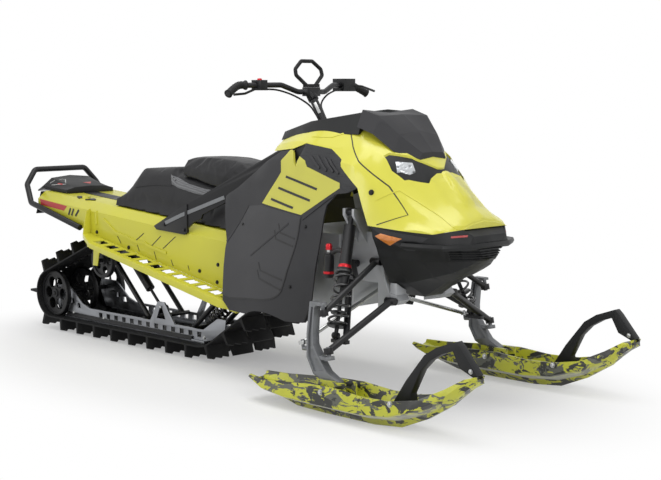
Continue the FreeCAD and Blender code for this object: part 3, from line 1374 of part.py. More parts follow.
piece(skid_arm("Front_skid_arm", front_head, front_pivot, tunnel_reach), "skid_arm_front")
rear_head = (number_of(carrier_x), number_of(carrier_z))
rear_ring, rear_bore = eye("Rear_arm_eye", Vector(rear_head[0], 0, rear_head[1]), Vector(0, 1, 0), 17,
                           axle_radius + gap, 240)
rear_joined = fused("Rear_skid_joined", rear_ring, skid_arm("Rear_skid_arm", rear_head, rear_pivot, None))
piece(minus("Rear_skid_bored", rear_joined, rear_bore), "skid_arm_rear")


def skid_shock(name, low, high, low_pin, high_pin):
    """Makes one shock inside the track, from the shaft between the rails to the one in the tunnel."""
    axis = unit(high - low)
    length = (high - low).Length
    across = Vector(0, 1, 0)
    low_ring, low_bore = eye(name + "_low", low, across, low_pin + 9, low_pin + gap, 26)
    high_ring, high_bore = eye(name + "_high", high, across, high_pin + 9, high_pin + gap, 30)
    joined = fused(name + "_joined", low_ring, high_ring,
                   rod(name + "_shaft", low + axis * 14, low + axis * length * 0.6, 7),
                   rod(name + "_body", low + axis * length * 0.45, high - axis * 20, 22),
                   rod(name + "_seat", low + axis * 34, low + axis * 42, 30))
    return minus(name, joined, fused(name + "_bores", low_bore, high_bore))


front_shock = skid_shock("Front_skid_shock", Vector(front_pivot[0], 0, front_pivot[1]),
                         Vector(front_head[0], 0, front_head[1]), 10, 12)
rear_shock = skid_shock("Rear_skid_shock", Vector(rear_pivot[0], 0, rear_pivot[1]),
                        Vector(rear_head[0], 0, rear_head[1]), 10, 17)
piece(fused("Skid_shocks", front_shock, rear_shock), "skid_shocks")

# Write the pieces, once every object and every shape is sound
doc.recompute()
failed = [thing.Name for thing in doc.Objects if "Invalid" in thing.State or "Error" in thing.State]
if failed:
    raise RuntimeError(f"objects that failed: {failed}")
broken = [thing.Label for thing in PIECES if thing.Shape.isNull() or not thing.Shape.isValid()]
if broken:
    raise RuntimeError(f"pieces without a sound shape: {broken}")
os.makedirs("parts", exist_ok=True)
for thing in PIECES:
    thing.Shape.exportStep(f"parts/{thing.Label}.step")
    print(f"{thing.Label:24s} solids {len(thing.Shape.Solids)} volume {thing.Shape.Volume / 1000:.0f} cm3")
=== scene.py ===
"""Dresses a long-track mountain snowmobile on the frame that its solid model gives.

Lengths are in metres in the model's frame: +X forward, +Y to the machine's left and +Z up, with
the origin on the ground at the middle of the machine. A size written with MM is in millimetres.
"""
from __future__ import annotations

import json
import logging
import math
from contextlib import contextmanager
from dataclasses import dataclass, field
from enum import Enum
from typing import Any, Iterable, Iterator, Optional, Sequence

import bmesh
import bpy
import numpy as np
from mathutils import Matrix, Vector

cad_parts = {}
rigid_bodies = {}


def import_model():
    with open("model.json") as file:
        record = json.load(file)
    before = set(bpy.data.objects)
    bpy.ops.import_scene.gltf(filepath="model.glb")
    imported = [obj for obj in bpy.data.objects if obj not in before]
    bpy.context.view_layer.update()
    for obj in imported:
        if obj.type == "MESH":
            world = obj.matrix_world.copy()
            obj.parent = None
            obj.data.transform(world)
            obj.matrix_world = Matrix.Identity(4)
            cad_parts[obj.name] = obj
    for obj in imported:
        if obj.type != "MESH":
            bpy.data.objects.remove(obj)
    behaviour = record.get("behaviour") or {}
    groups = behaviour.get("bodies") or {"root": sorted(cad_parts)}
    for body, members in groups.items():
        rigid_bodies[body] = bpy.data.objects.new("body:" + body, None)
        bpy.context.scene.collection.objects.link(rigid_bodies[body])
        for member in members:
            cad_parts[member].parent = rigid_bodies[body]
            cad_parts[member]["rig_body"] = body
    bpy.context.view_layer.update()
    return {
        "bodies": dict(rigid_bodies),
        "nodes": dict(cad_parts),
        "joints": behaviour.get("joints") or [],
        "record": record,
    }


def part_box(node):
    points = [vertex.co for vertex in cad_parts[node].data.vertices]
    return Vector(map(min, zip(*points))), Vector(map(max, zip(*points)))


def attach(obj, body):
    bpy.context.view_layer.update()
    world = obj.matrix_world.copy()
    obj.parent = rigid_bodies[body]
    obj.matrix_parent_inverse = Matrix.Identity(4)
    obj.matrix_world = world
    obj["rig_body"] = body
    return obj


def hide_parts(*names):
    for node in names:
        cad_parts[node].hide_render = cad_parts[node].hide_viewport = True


LOG = logging.getLogger("snowmobile")
MM = 0.001
Point = Sequence[float]
Line = tuple[Point, ...]
Lines = tuple[Line, ...]
Thing = bpy.types.Object
Tree = bpy.types.NodeTree
Socket = bpy.types.NodeSocket

# The angles in degrees from which a fold shows as a hard edge: on skins, on bevelled solids, on turned ones
SKIN_CREASE = 17.0
EDGE_CREASE = 32.0
TURNED_CREASE = 40.0

# The distances in metres under which points are one point: in new meshes, and in the frame's
WELD = 1e-6
NODE_WELD = 1e-5

# How far out, in metres, flat patches start before they are laid: beside the machine and above it
SIDE_START = 0.7
TOP_START = 1.6

# How far out, in metres, bolts are aimed from and cutters reach
REACH = 0.6

# How far from the middle, in metres, a cutter starts
CUT_START = 0.06

# A bolt in shares of its washer's radius: the washer's height, the head's height and the head's outline
WASHER_RISE = 0.18
HEAD_RISE = 0.7
HEAD_PROFILE = ((0, 0.72), (0.85, 0.72), (1, 0.58))


class Side(Enum):
    """The machine's right and left, as the sign of Y."""

    RIGHT = -1
    LEFT = 1

    @property
    def word(self) -> str:
        """The side's name in piece names."""
        return self.name.lower()

    @property
    def out(self) -> tuple[float, float, float]:
        """The unit vector that points away from the machine on this side."""
        return (0.0, float(self.value), 0.0)


# Small mathematics

def unit(vector: np.ndarray) -> np.ndarray:
    """Scales vectors to length one along their last axis."""
    vector = np.asarray(vector, float)
    return vector / np.linalg.norm(vector, axis=-1, keepdims=True)


def mm(*values: float) -> np.ndarray:
    """Turns millimetres into metres."""
    return np.array(values, float) * MM


def flipped(points: np.ndarray, side: Side) -> np.ndarray:
    """Takes points drawn on the machine's right to the asked side."""
    return np.asarray(points, float) * np.array([1.0, -side.value, 1.0])


def smooth_route(points: Sequence[Point], per_span: int = 12) -> np.ndarray:
    """Runs a Catmull-Rom curve through points.

    Args:
        points: The points that the curve passes, in order.
        per_span: Samples from one point to the next.

    Returns:
        The curve's samples, of shape (n, 3). On a span from b to c with neighbours a and d, the curve is
        half of 2b + (c - a)t + (2a - 5b + 4c - d)t^2 + (3b - a - 3c + d)t^3.
    """
    knots = np.asarray(points, float)
    padded = np.vstack([2 * knots[0] - knots[1], knots, 2 * knots[-1] - knots[-2]])
    a, b, c, d = (padded[i:len(padded) - 3 + i, None, :] for i in range(4))
    t = np.linspace(0, 1, per_span, endpoint=False)[None, :, None]
    curve = 0.5 * (2 * b + (c - a) * t + (2 * a - 5 * b + 4 * c - d) * t ** 2
                   + (3 * b - a - 3 * c + d) * t ** 3)
    return np.vstack([curve.reshape(-1, knots.shape[1]), knots[-1]])


def frames_along(path: np.ndarray, up: Point = (0, 0, 1)) -> tuple[np.ndarray, np.ndarray, np.ndarray]:
    """Gives the direction and two normals at each point of a path.

    Args:
        path: The points, of shape (n, 3).
        up: The direction that the second normal keeps nearest to.

    Returns:
        Forward, sideways and upward unit vectors, each of shape (n, 3).
    """
    forward = unit(np.gradient(path, axis=0))
    sideways = unit(np.cross(np.broadcast_to(np.asarray(up, float), forward.shape), forward))
    return forward, sideways, np.cross(forward, sideways)


# Meshes

@contextmanager
def editing(data: bpy.types.Mesh) -> Iterator[bmesh.types.BMesh]:
    """Opens a mesh for editing and writes it back at the end."""
    shape = bmesh.new()
    shape.from_mesh(data)
    yield shape
    shape.to_mesh(data)
    shape.free()


def linked(name: str, data: bpy.types.ID) -> Thing:
    """Makes an object of a mesh, lamp or camera and links it to the scene."""
    thing = bpy.data.objects.new(name, data)
    bpy.context.scene.collection.objects.link(thing)
    return thing


def modify(thing: Thing, kind: str, **settings: Any) -> bpy.types.Modifier:
    """Adds a modifier with the given settings to an object."""
    modifier = thing.modifiers.new(kind.title(), kind)
    for key, value in settings.items():
        setattr(modifier, key, value)
    return modifier


def shaded(thing: Thing, crease: float) -> Thing:
    """Shades an object smoothly, with a hard edge where a fold is sharper than the given degrees."""
    thing.data.shade_smooth()
    thing.data.set_sharp_from_angle(angle=math.radians(crease))
    return thing


def scaled(profile: Line, scale: float = MM) -> list[tuple[float, float]]:
    """Scales the radii of a turned profile, by default from millimetres."""
    return [(share, radius * scale) for share, radius in profile]


def grid_faces(rows: int, cols: int, wrap_rows: bool = False, wrap_cols: bool = False) -> np.ndarray:
    """Lists the quads of a grid of points.

    Args:
        rows: Points along the first parameter.
        cols: Points along the second.
        wrap_rows: Joins the last row to the first.
        wrap_cols: Joins the last column to the first.

    Returns:
        Vertex indices of shape (n, 4).
    """
    i, j = np.meshgrid(np.arange(rows - (not wrap_rows)), np.arange(cols - (not wrap_cols)), indexing="ij")
    below, beside = (i + 1) % rows, (j + 1) % cols
    corners = [i * cols + j, below * cols + j, below * cols + beside, i * cols + beside]
    return np.stack(corners, -1).reshape(-1, 4)


def build_mesh(name: str, points: np.ndarray, faces: Iterable[Sequence[int]], smooth: bool = True) -> Thing:
    """Makes a mesh object from points and faces, with doubles merged and faces turned outwards.

    Args:
        name: The object's name.
        points: Vertex places, of any shape that ends in 3.
        faces: Vertex indices of each face.
        smooth: Shades the faces smoothly.

    Returns:
        The object, linked to the scene.
    """
    data = bpy.data.meshes.new(name)
    data.from_pydata(np.asarray(points, float).reshape(-1, 3).tolist(), [],
                     [list(map(int, f)) for f in faces])
    with editing(data) as shape:
        bmesh.ops.remove_doubles(shape, verts=shape.verts, dist=WELD)
        bmesh.ops.recalc_face_normals(shape, faces=shape.faces)
    if smooth:
        data.shade_smooth()
    else:
        data.shade_flat()
    return linked(name, data)


def merged(name: str, parts: Sequence[Thing]) -> Thing:
    """Joins several mesh objects into the first and names the result."""
    for part in parts:
        finish_modifiers(part)
    with bpy.context.temp_override(active_object=parts[0], object=parts[0], selected_objects=list(parts),
                                   selected_editable_objects=list(parts)):
        bpy.ops.object.join()
    parts[0].name = name
    parts[0].data.name = name
    return parts[0]


def finish_modifiers(thing: Thing) -> Thing:
    """Writes an object's modifiers into its mesh."""
    if thing.modifiers:
        graph = bpy.context.evaluated_depsgraph_get()
        data = bpy.data.meshes.new_from_object(thing.evaluated_get(graph), depsgraph=graph)
        thing.modifiers.clear()
        thing.data = data
    return thing


def sweep(name: str, path: np.ndarray, profile: np.ndarray, closed: bool = False, up: Point = (0, 0, 1),
          scale: Optional[np.ndarray] = None, smooth: bool = True) -> Thing:
    """Carries a closed profile along a path.

    Args:
        name: The object's name.
        path: Points of shape (n, 3).
        profile: Closed outline of shape (m, 2), sideways and upward.
        closed: Joins the path's end to its start.
        up: The direction that the profile's upward axis keeps nearest to.
        scale: A factor for the profile at each point of the path.
        smooth: Shades the faces smoothly.

    Returns:
        The swept object, with flat ends unless it is closed.
    """
    _, sideways, upward = frames_along(path, up)
    factor = np.ones(len(path)) if scale is None else np.asarray(scale, float)
    points = (path[:, None, :] + sideways[:, None, :] * (profile[None, :, :1] * factor[:, None, None])
              + upward[:, None, :] * (profile[None, :, 1:] * factor[:, None, None]))
    rows, cols = points.shape[:2]
    faces = grid_faces(rows, cols, closed, True).tolist()
    if not closed:
        faces += [list(range(cols)), list(range((rows - 1) * cols, rows * cols))]
    return build_mesh(name, points, faces, smooth)


def circle(radius: float, sides: int = 12) -> np.ndarray:
    """Gives a round outline of shape (sides, 2)."""
    turn = np.linspace(0, 2 * math.pi, sides, endpoint=False)
    return np.stack([np.cos(turn), np.sin(turn)], -1) * radius


def tube(name: str, points: Sequence[Point], radius: float, sides: int = 12, per_span: int = 10) -> Thing:
    """Makes a round tube or hose along a smooth curve through points."""
    return sweep(name, smooth_route(points, per_span), circle(radius, sides))


def straight(name: str, start: Point, end: Point, radii: Sequence[tuple[float, float]],
             sides: int = 24) -> Thing:
    """Turns a profile round the line from start to end.

    Args:
        name: The object's name.
        start: The line's first point.
        end: The line's last point.
        radii: Pairs of a share of the line's length and the radius there.
        sides: Points round the line.

    Returns:
        The turned object, closed at both ends.
    """
    start, end = np.asarray(start, float), np.asarray(end, float)
    along = unit(end - start)
    first = unit(np.cross(along, [0.0, 0.0, 1.0] if abs(along[2]) < 0.9 else [1.0, 0.0, 0.0]))
    second = np.cross(along, first)
    turn = np.linspace(0, 2 * math.pi, sides, endpoint=False)
    ring = np.cos(turn)[:, None] * first + np.sin(turn)[:, None] * second
    share, radius = np.array(radii, float).T
    points = start + (end - start) * share[:, None, None] + ring[None] * radius[:, None, None]
    rows = len(radii)
    faces = grid_faces(rows, sides, False, True).tolist()
    faces += [list(range(sides)), list(range((rows - 1) * sides, rows * sides))]
    return shaded(build_mesh(name, points, faces), TURNED_CREASE)


def bevelled(thing: Thing, width: float, segments: int = 2, angle: float = 35) -> Thing:
    """Rounds an object's sharp edges and shades it smoothly between the sharp ones left."""
    modify(thing, "BEVEL", width=width, segments=segments, limit_method="ANGLE",
           angle_limit=math.radians(angle), use_clamp_overlap=True)
    return shaded(finish_modifiers(thing), EDGE_CREASE)


def plate(name: str, outline: np.ndarray, across: Point, edge: float = 0.0008) -> Thing:
    """Extrudes a flat outline and rounds its edges.

    Args:
        name: The object's name.
        outline: Points of shape (n, 3) on one plane, in order.
        across: The vector from that face to the far one.
        edge: The width of the edges' bevel.

    Returns:
        The plate.
    """
    outline = np.asarray(outline, float)
    count = len(outline)
    points = np.vstack([outline, outline + np.asarray(across, float)])
    sides = [[i, (i + 1) % count, (i + 1) % count + count, i + count] for i in range(count)]
    thing = build_mesh(name, points, [list(range(count)), list(range(count, 2 * count))] + sides, False)
    return bevelled(thing, edge) if edge else thing


# Materials

def empty_tree(owner: bpy.types.ID) -> Tree:
    """Gives the emptied node tree of a material or of the world."""
    owner.use_nodes = True
    owner.node_tree.nodes.clear()
    return owner.node_tree


def linear(code: str) -> tuple[float, float, float, float]:
    """Turns an sRGB hex colour into linear red, green, blue and alpha."""
    value = np.array([int(code[i:i + 2], 16) for i in (1, 3, 5)]) / 255
    value = np.where(value <= 0.04045, value / 12.92, ((value + 0.055) / 1.055) ** 2.4)
    return (*value.tolist(), 1.0)


def add_node(tree: Tree, kind: str, settings: Optional[dict[Any, Any]] = None,
             links: Optional[dict[Any, Socket]] = None) -> bpy.types.Node:
    """Adds a shader node.

    Args:
        tree: The material's or the world's tree.
        kind: The node's type.
        settings: Values by the name of a property, or by the name or number of an input.
        links: Sockets by the name or number of the input that each feeds.

    Returns:
        The node.
    """
    node = tree.nodes.new(kind)
    for key, value in (settings or {}).items():
        if isinstance(key, str) and hasattr(node, key):
            setattr(node, key, value)
        else:
            node.inputs[key].default_value = value
    for key, socket in (links or {}).items():
        tree.links.new(socket, node.inputs[key])
    return node


@dataclass(frozen=True)
class Finish:
    """A surface as its maker leaves it: one colour with a fine grain, slow blotches and uneven gloss."""

    name: str
    colour: str
    roughness: float = 0.5
    metallic: float = 0.0
    coat: float = 0.0
    coat_roughness: float = 0.08
    grain_mm: float = 1.0
    grain_depth_mm: float = 0.05
    blotch_mm: float = 120.0
    blotch: float = 0.1
    gloss_spread: float = 0.08
    stretch: tuple[float, float, float] = (1.0, 1.0, 1.0)
    specular: float = 0.5

    def material(self) -> bpy.types.Material:
        """Builds the material once and hands it out again after that."""
        found = bpy.data.materials.get(self.name)
        return found if found else self.build()

    def build(self) -> bpy.types.Material:
        """Builds the node tree: coordinates, grain, blotches, then the colour and relief of this finish."""
        material = bpy.data.materials.new(self.name)
        tree = empty_tree(material)
        place = add_node(tree, "ShaderNodeTexCoord").outputs["Object"]
        stretched = add_node(tree, "ShaderNodeMapping", {"Scale": self.stretch}, {"Vector": place})
        grain = add_node(tree, "ShaderNodeTexNoise", {"Scale": 1 / (self.grain_mm * MM), "Detail": 3.0},
                         {"Vector": stretched.outputs[0]})
        blotches = add_node(tree, "ShaderNodeTexNoise", {"Scale": 1 / (self.blotch_mm * MM), "Detail": 4.0},
                            {"Vector": place})
        colour = self.colour_socket(tree, place, blotches.outputs["Fac"])
        gloss = add_node(tree, "ShaderNodeMapRange",
                         {"From Min": 0.3, "From Max": 0.7, "To Min": self.roughness - self.gloss_spread,
                          "To Max": self.roughness + self.gloss_spread}, {"Value": blotches.outputs["Fac"]})
        shader = add_node(tree, "ShaderNodeBsdfPrincipled",
                          {"Metallic": self.metallic, "Coat Weight": self.coat,
                           "Coat Roughness": self.coat_roughness, "Specular IOR Level": self.specular},
                          {"Base Color": colour, "Roughness": gloss.outputs[0]})
        relief = self.relief_socket(tree, place, grain.outputs["Fac"])
        tree.links.new(relief, shader.inputs["Normal"])
        add_node(tree, "ShaderNodeOutputMaterial", links={"Surface": shader.outputs[0]})
        return material

    def colour_socket(self, tree: Tree, place: Socket,
                      blotches: Socket) -> Socket:
        """Gives the colour, a little darker and lighter in slow blotches."""
        red, green, blue, _ = linear(self.colour)
        dark = tuple(c * (1 - self.blotch) for c in (red, green, blue)) + (1.0,)
        light = tuple(min(1.0, c * (1 + self.blotch)) for c in (red, green, blue)) + (1.0,)
        mix = add_node(tree, "ShaderNodeMix", {"data_type": "RGBA", 6: dark, 7: light}, {0: blotches})
        return mix.outputs[2]

    def relief_socket(self, tree: Tree, place: Socket,
                      grain: Socket) -> Socket:
        """Gives the normal that the grain bends."""
        bump = add_node(tree, "ShaderNodeBump", {"Strength": 0.6, "Distance": self.grain_depth_mm * MM},
                        {"Height": grain})
        return bump.outputs[0]


@dataclass(frozen=True)
class MottledFinish(Finish):
    """A film-printed plastic: torn dark and grey blotches on the yellow, pale where the underside shows."""

    dark: str = "#23241f"
    grey: str = "#5b5d52"
    pale: str = "#b9b9b2"
    patch_mm: float = 48.0
    along: float = 0.5
    shares: tuple[float, float] = (0.525, 0.53)

    def colour_socket(self, tree: Tree, place: Socket,
                      blotches: Socket) -> Socket:
        """Lays grey and then dark patches of noise over the yellow, and pales the underside."""
        colour = super().colour_socket(tree, place, blotches)
        for shift, level, code in ((3.1, self.shares[1], self.grey), (0.0, self.shares[0], self.dark)):
            moved = add_node(tree, "ShaderNodeMapping", {"Location": (shift, shift, 0.0),
                                                        "Scale": (self.along, 1.0, 1.0)}, {"Vector": place})
            noise = add_node(tree, "ShaderNodeTexNoise",
                             {"Scale": 1 / (self.patch_mm * MM), "Detail": 5.0, "Roughness": 0.62,
                              "Distortion": 0.9}, {"Vector": moved.outputs[0]})
            cut = add_node(tree, "ShaderNodeMapRange", {"From Min": level, "From Max": level + 0.012},
                           {"Value": noise.outputs["Fac"]})
            colour = add_node(tree, "ShaderNodeMix", {"data_type": "RGBA", 7: linear(code)},
                              {0: cut.outputs[0], 6: colour}).outputs[2]
        facing = add_node(tree, "ShaderNodeTexCoord").outputs["Normal"]
        upright = add_node(tree, "ShaderNodeSeparateXYZ", links={0: facing}).outputs[2]
        below = add_node(tree, "ShaderNodeMapRange", {"From Min": -0.78, "From Max": -0.92},
                         {"Value": upright})
        return add_node(tree, "ShaderNodeMix", {"data_type": "RGBA", 7: linear(self.pale)},
                        {0: below.outputs[0], 6: colour}).outputs[2]


@dataclass(frozen=True)
class CellFinish(Finish):
    """A surface of small cells, such as a punched mesh, a prismatic lens or a coarse cloth."""

    gap_colour: str = "#0b0b0c"
    cell_mm: float = 7.0
    cell_depth_mm: float = 0.8
    edges: tuple[float, float] = (0.18, 0.3)

    def cell_socket(self, tree: Tree, place: Socket) -> Socket:
        """Gives 0 in the middle of each cell and 1 between the cells."""
        cells = add_node(tree, "ShaderNodeTexVoronoi",
                         {"Scale": 1 / (self.cell_mm * MM), "Randomness": 0.0}, {"Vector": place})
        level = add_node(tree, "ShaderNodeMapRange", {"From Min": self.edges[0], "From Max": self.edges[1]},
                         {"Value": cells.outputs["Distance"]})
        return level.outputs[0]

    def colour_socket(self, tree: Tree, place: Socket,
                      blotches: Socket) -> Socket:
        """Darkens the cells' middles, where the holes or the hollows are."""
        colour = super().colour_socket(tree, place, blotches)
        mix = add_node(tree, "ShaderNodeMix", {"data_type": "RGBA", 6: linear(self.gap_colour)},
                       {0: self.cell_socket(tree, place), 7: colour})
        return mix.outputs[2]

    def relief_socket(self, tree: Tree, place: Socket,
                      grain: Socket) -> Socket:
        """Sinks the cells' middles below the grain."""
        fine = super().relief_socket(tree, place, grain)
        bump = add_node(tree, "ShaderNodeBump", {"Strength": 0.8, "Distance": self.cell_depth_mm * MM},
                        {"Height": self.cell_socket(tree, place), "Normal": fine})
        return bump.outputs[0]


# Moulded ABS in a bright yellow, with a clear gloss that shows soft lamps as long streaks
YELLOW_ABS = Finish("Moulded_yellow_ABS", "#e0db45", 0.34, coat=0.5, coat_roughness=0.12, grain_mm=2.5,
                    grain_depth_mm=0.03, blotch_mm=260, blotch=0.04, gloss_spread=0.04)
# Powder coat on folded aluminium sheet: the same yellow, with a fine orange peel
YELLOW_POWDER = Finish("Yellow_powder_coated_aluminium", "#cfcb3a", 0.42, coat=0.25, coat_roughness=0.25,
                       grain_mm=1.6, grain_depth_mm=0.06, blotch_mm=180, blotch=0.06)
# Talc-filled polypropylene with a spark-eroded grain, which scatters light and looks soft
DARK_PP = Finish("Grained_dark_polypropylene", "#373739", 0.56, specular=0.25, grain_mm=0.9,
                 grain_depth_mm=0.08, blotch_mm=150, blotch=0.08)
# The side panels' rim, a shade darker
RIM_PP = Finish("Dark_panel_polypropylene", "#2f2f31", 0.54, specular=0.3, grain_mm=0.9,
                grain_depth_mm=0.08, blotch_mm=150, blotch=0.08)
# The panel's raised field, of the same plastic with a finer grain that looks a little lighter
FIELD_PP = Finish("Fine_grained_dark_polypropylene", "#3d3d3f", 0.5, specular=0.3, grain_mm=0.7,
                  grain_depth_mm=0.05, blotch_mm=150, blotch=0.08)
# The same plastic, nearly black, as on covers and ducts
BLACK_PP = Finish("Grained_black_polypropylene", "#1a1b1c", 0.46, specular=0.3, grain_mm=0.9,
                  grain_depth_mm=0.06, blotch_mm=120, blotch=0.1)
# Vinyl film in flat black, as on stripes and painted lines; it also serves for the black strips of painted
# shade along the side panels' recessed channel and chevron lines
BLACK_FILM = Finish("Matt_black_vinyl_film", "#131314", 0.5, grain_mm=1.5, grain_depth_mm=0.02,
                    blotch_mm=60, blotch=0.1)
# The same film in yellow, red and pale grey
YELLOW_FILM = Finish("Yellow_vinyl_film", "#c9c548", 0.4, coat=0.3, grain_mm=1.5, grain_depth_mm=0.02,
                     blotch_mm=90, blotch=0.05)
RED_FILM = Finish("Red_vinyl_film", "#b5302f", 0.42, coat=0.2, grain_mm=1.5, grain_depth_mm=0.02,
                  blotch_mm=60, blotch=0.08)
PALE_FILM = Finish("Pale_grey_vinyl_film", "#b9bab8", 0.45, grain_mm=1.5, grain_depth_mm=0.02, blotch_mm=60,
                   blotch=0.08)
# Marine vinyl stretched over foam: a soft pebble grain with a low sheen
SEAT_VINYL = Finish("Grained_seat_vinyl", "#1f1f21", 0.5, specular=0.3, grain_mm=1.8, grain_depth_mm=0.25,
                    blotch_mm=90, blotch=0.12)
# Open-weave gripper cloth sewn over the vinyl, drawn at three times its thread so that it shows
SEAT_CLOTH = CellFinish("Woven_grey_seat_cloth", "#7d7e80", 0.8, grain_mm=1.2, grain_depth_mm=0.2,
                        blotch_mm=50, blotch=0.1, gap_colour="#3e3e40", cell_mm=5.0, cell_depth_mm=1.0,
                        edges=(0.25, 0.5))
# Moulded natural rubber, dull, with a bloom that greys it unevenly
TRACK_RUBBER = Finish("Moulded_track_rubber", "#121213", 0.62, specular=0.25, grain_mm=1.5,
                      grain_depth_mm=0.15, blotch_mm=70, blotch=0.25, gloss_spread=0.1)
# Extruded 6000-series aluminium, satin, with die lines along its length
RAIL_ALLOY = Finish("Extruded_rail_aluminium", "#8e9094", 0.38, metallic=1.0, grain_mm=2.0,
                    grain_depth_mm=0.02, stretch=(0.08, 1.0, 1.0), blotch_mm=60, blotch=0.1)
# Cast and shot-blasted aluminium: pale, with a coarse even texture
CAST_ALLOY = Finish("Blasted_cast_aluminium", "#b6b8bb", 0.5, metallic=0.35, grain_mm=1.0,
                    grain_depth_mm=0.12, blotch_mm=60, blotch=0.12)
# Satin black powder coat on steel tube
BLACK_COAT = Finish("Black_powder_coated_steel", "#19191b", 0.38, specular=0.35, grain_mm=1.4,
                    grain_depth_mm=0.05, blotch_mm=80, blotch=0.1)
# Forged aluminium under a dark grey paint, a little brighter on its edges; its colour also serves for the
# painted highlight along the tunnel braces
GREY_FORGING = Finish("Painted_grey_forging", "#797b7e", 0.42, metallic=0.3, grain_mm=1.2,
                      grain_depth_mm=0.06, blotch_mm=50, blotch=0.12)
# Zinc-plated steel: bright, slightly yellow-grey
ZINC_STEEL = Finish("Zinc_plated_steel", "#b4b5b4", 0.3, metallic=1.0, grain_mm=1.0, grain_depth_mm=0.02,
                    blotch_mm=30, blotch=0.08)
# Cold-wound spring wire with a gloss black coat
SPRING_WIRE = Finish("Coated_spring_wire", "#1a1a1c", 0.26, coat=0.5, grain_mm=3.0, grain_depth_mm=0.02,
                     blotch_mm=40, blotch=0.08)
# Anodised aluminium: thin clear colour over bright metal
RED_ANODISED = Finish("Red_anodised_aluminium", "#c8202a", 0.3, metallic=0.55, grain_mm=1.0,
                      grain_depth_mm=0.02, blotch_mm=20, blotch=0.08)
# Glass-filled nylon of wheels and clips
BLACK_NYLON = Finish("Moulded_black_nylon", "#151517", 0.45, specular=0.3, grain_mm=1.0,
                     grain_depth_mm=0.05, blotch_mm=60, blotch=0.12)
# Soft grip rubber
GRIP_RUBBER = Finish("Moulded_grip_rubber", "#151516", 0.6, specular=0.3, grain_mm=1.0, grain_depth_mm=0.1,
                     blotch_mm=40, blotch=0.12)
# Ultra-high-density polyethylene of the skis, waxy, printed all over with torn blotches
SKI_PLASTIC = MottledFinish("Printed_ski_polyethylene", "#c3c535", 0.4, coat=0.2, coat_roughness=0.3,
                            grain_mm=2.0, grain_depth_mm=0.06, blotch_mm=60, blotch=0.14)
# Punched plastic of the vents, with its holes drawn at 7 mm
VENT_MESH = CellFinish("Perforated_black_mesh", "#2f3032", 0.5, specular=0.3, grain_mm=0.8,
                       grain_depth_mm=0.05, blotch_mm=40, blotch=0.1)
# Clear polycarbonate over bright reflector cups, which it shows as a grid of glints
LAMP_LENS = CellFinish("Clear_lens_over_reflector", "#c9cdd0", 0.12, coat=1.0, coat_roughness=0.03,
                       metallic=0.35, grain_mm=8, grain_depth_mm=0.01, blotch_mm=25, blotch=0.25,
                       gap_colour="#4c5156", cell_mm=21.0, cell_depth_mm=2.5, edges=(0.1, 0.42))
# Prismatic acrylic reflectors
AMBER_LENS = CellFinish("Amber_reflector_acrylic", "#e08638", 0.2, coat=0.6, grain_mm=2.5,
                        grain_depth_mm=0.05, blotch_mm=10, blotch=0.1, gap_colour="#b8621c", cell_mm=5.0,
                        cell_depth_mm=0.8)
RED_LENS = CellFinish("Red_lamp_acrylic", "#8e1a1c", 0.18, coat=0.6, grain_mm=2.5, grain_depth_mm=0.05,
                      blotch_mm=12, blotch=0.15, gap_colour="#55080a", cell_mm=8.0, cell_depth_mm=0.8)

# The finish of each node and the bevel of its edges in millimetres; a skin keeps its own smooth faces
NODE_FINISH: dict[str, tuple[Finish, float]] = {
    "track": (TRACK_RUBBER, 0.8),
    "slide_rail": (RAIL_ALLOY, 0.8),
    "carrier_wheels": (BLACK_NYLON, 1.2),
    "drive_axle": (BLACK_NYLON, 1.2),
    "idler_wheels": (BLACK_NYLON, 1.2),
    "tunnel": (YELLOW_POWDER, 1.2),
    "running_board": (YELLOW_POWDER, 1.0),
    "rear_bumper": (BLACK_COAT, 0.0),
    "tail_cover": (BLACK_PP, 3.0),
    "tail_lamp": (RED_LENS, 1.5),
    "snow_flap": (TRACK_RUBBER, 1.0),
    "seat_base": (SEAT_VINYL, 8.0),
    "seat_cushion": (SEAT_VINYL, 8.0),
    "engine_block": (CAST_ALLOY, 4.0),
    "bulkhead": (CAST_ALLOY, 2.0),
    "hood": (YELLOW_ABS, 0.0),
    "headlight_housing": (BLACK_PP, 0.8),
    "headlights": (LAMP_LENS, 0.6),
    "side_vents": (VENT_MESH, 1.0),
    "side_panel": (RIM_PP, 0.0),
    "side_reflectors": (AMBER_LENS, 0.8),
    "console_cover": (BLACK_PP, 3.0),
    "deflector": (DARK_PP, 0.0),
    "nose_cowl": (BLACK_PP, 0.0),
    "nose_grille": (BLACK_PP, 0.5),
    "bumper_lip": (BLACK_PP, 2.0),
    "tunnel_brace": (BLACK_COAT, 2.0),
    "steering_head": (BLACK_COAT, 1.5),
    "handlebar": (BLACK_COAT, 0.0),
    "steering_post": (BLACK_COAT, 0.0),
    "grab_loop": (GRIP_RUBBER, 0.0),
    "hand_controls": (BLACK_PP, 3.5),
    "spindle": (GREY_FORGING, 2.5),
    "lower_arm": (BLACK_COAT, 0.6),
    "upper_arm": (BLACK_COAT, 0.6),
    "front_shock": (BLACK_COAT, 0.8),
    "tie_rod": (ZINC_STEEL, 0.5),
    "steering_crank": (GREY_FORGING, 0.8),
    "ski_loop": (BLACK_PP, 3.0),
    "ski": (SKI_PLASTIC, 1.5),
    "skid_arm": (BLACK_COAT, 0.6),
    "skid_shocks": (BLACK_COAT, 0.8),
}


# Outlines laid on surfaces

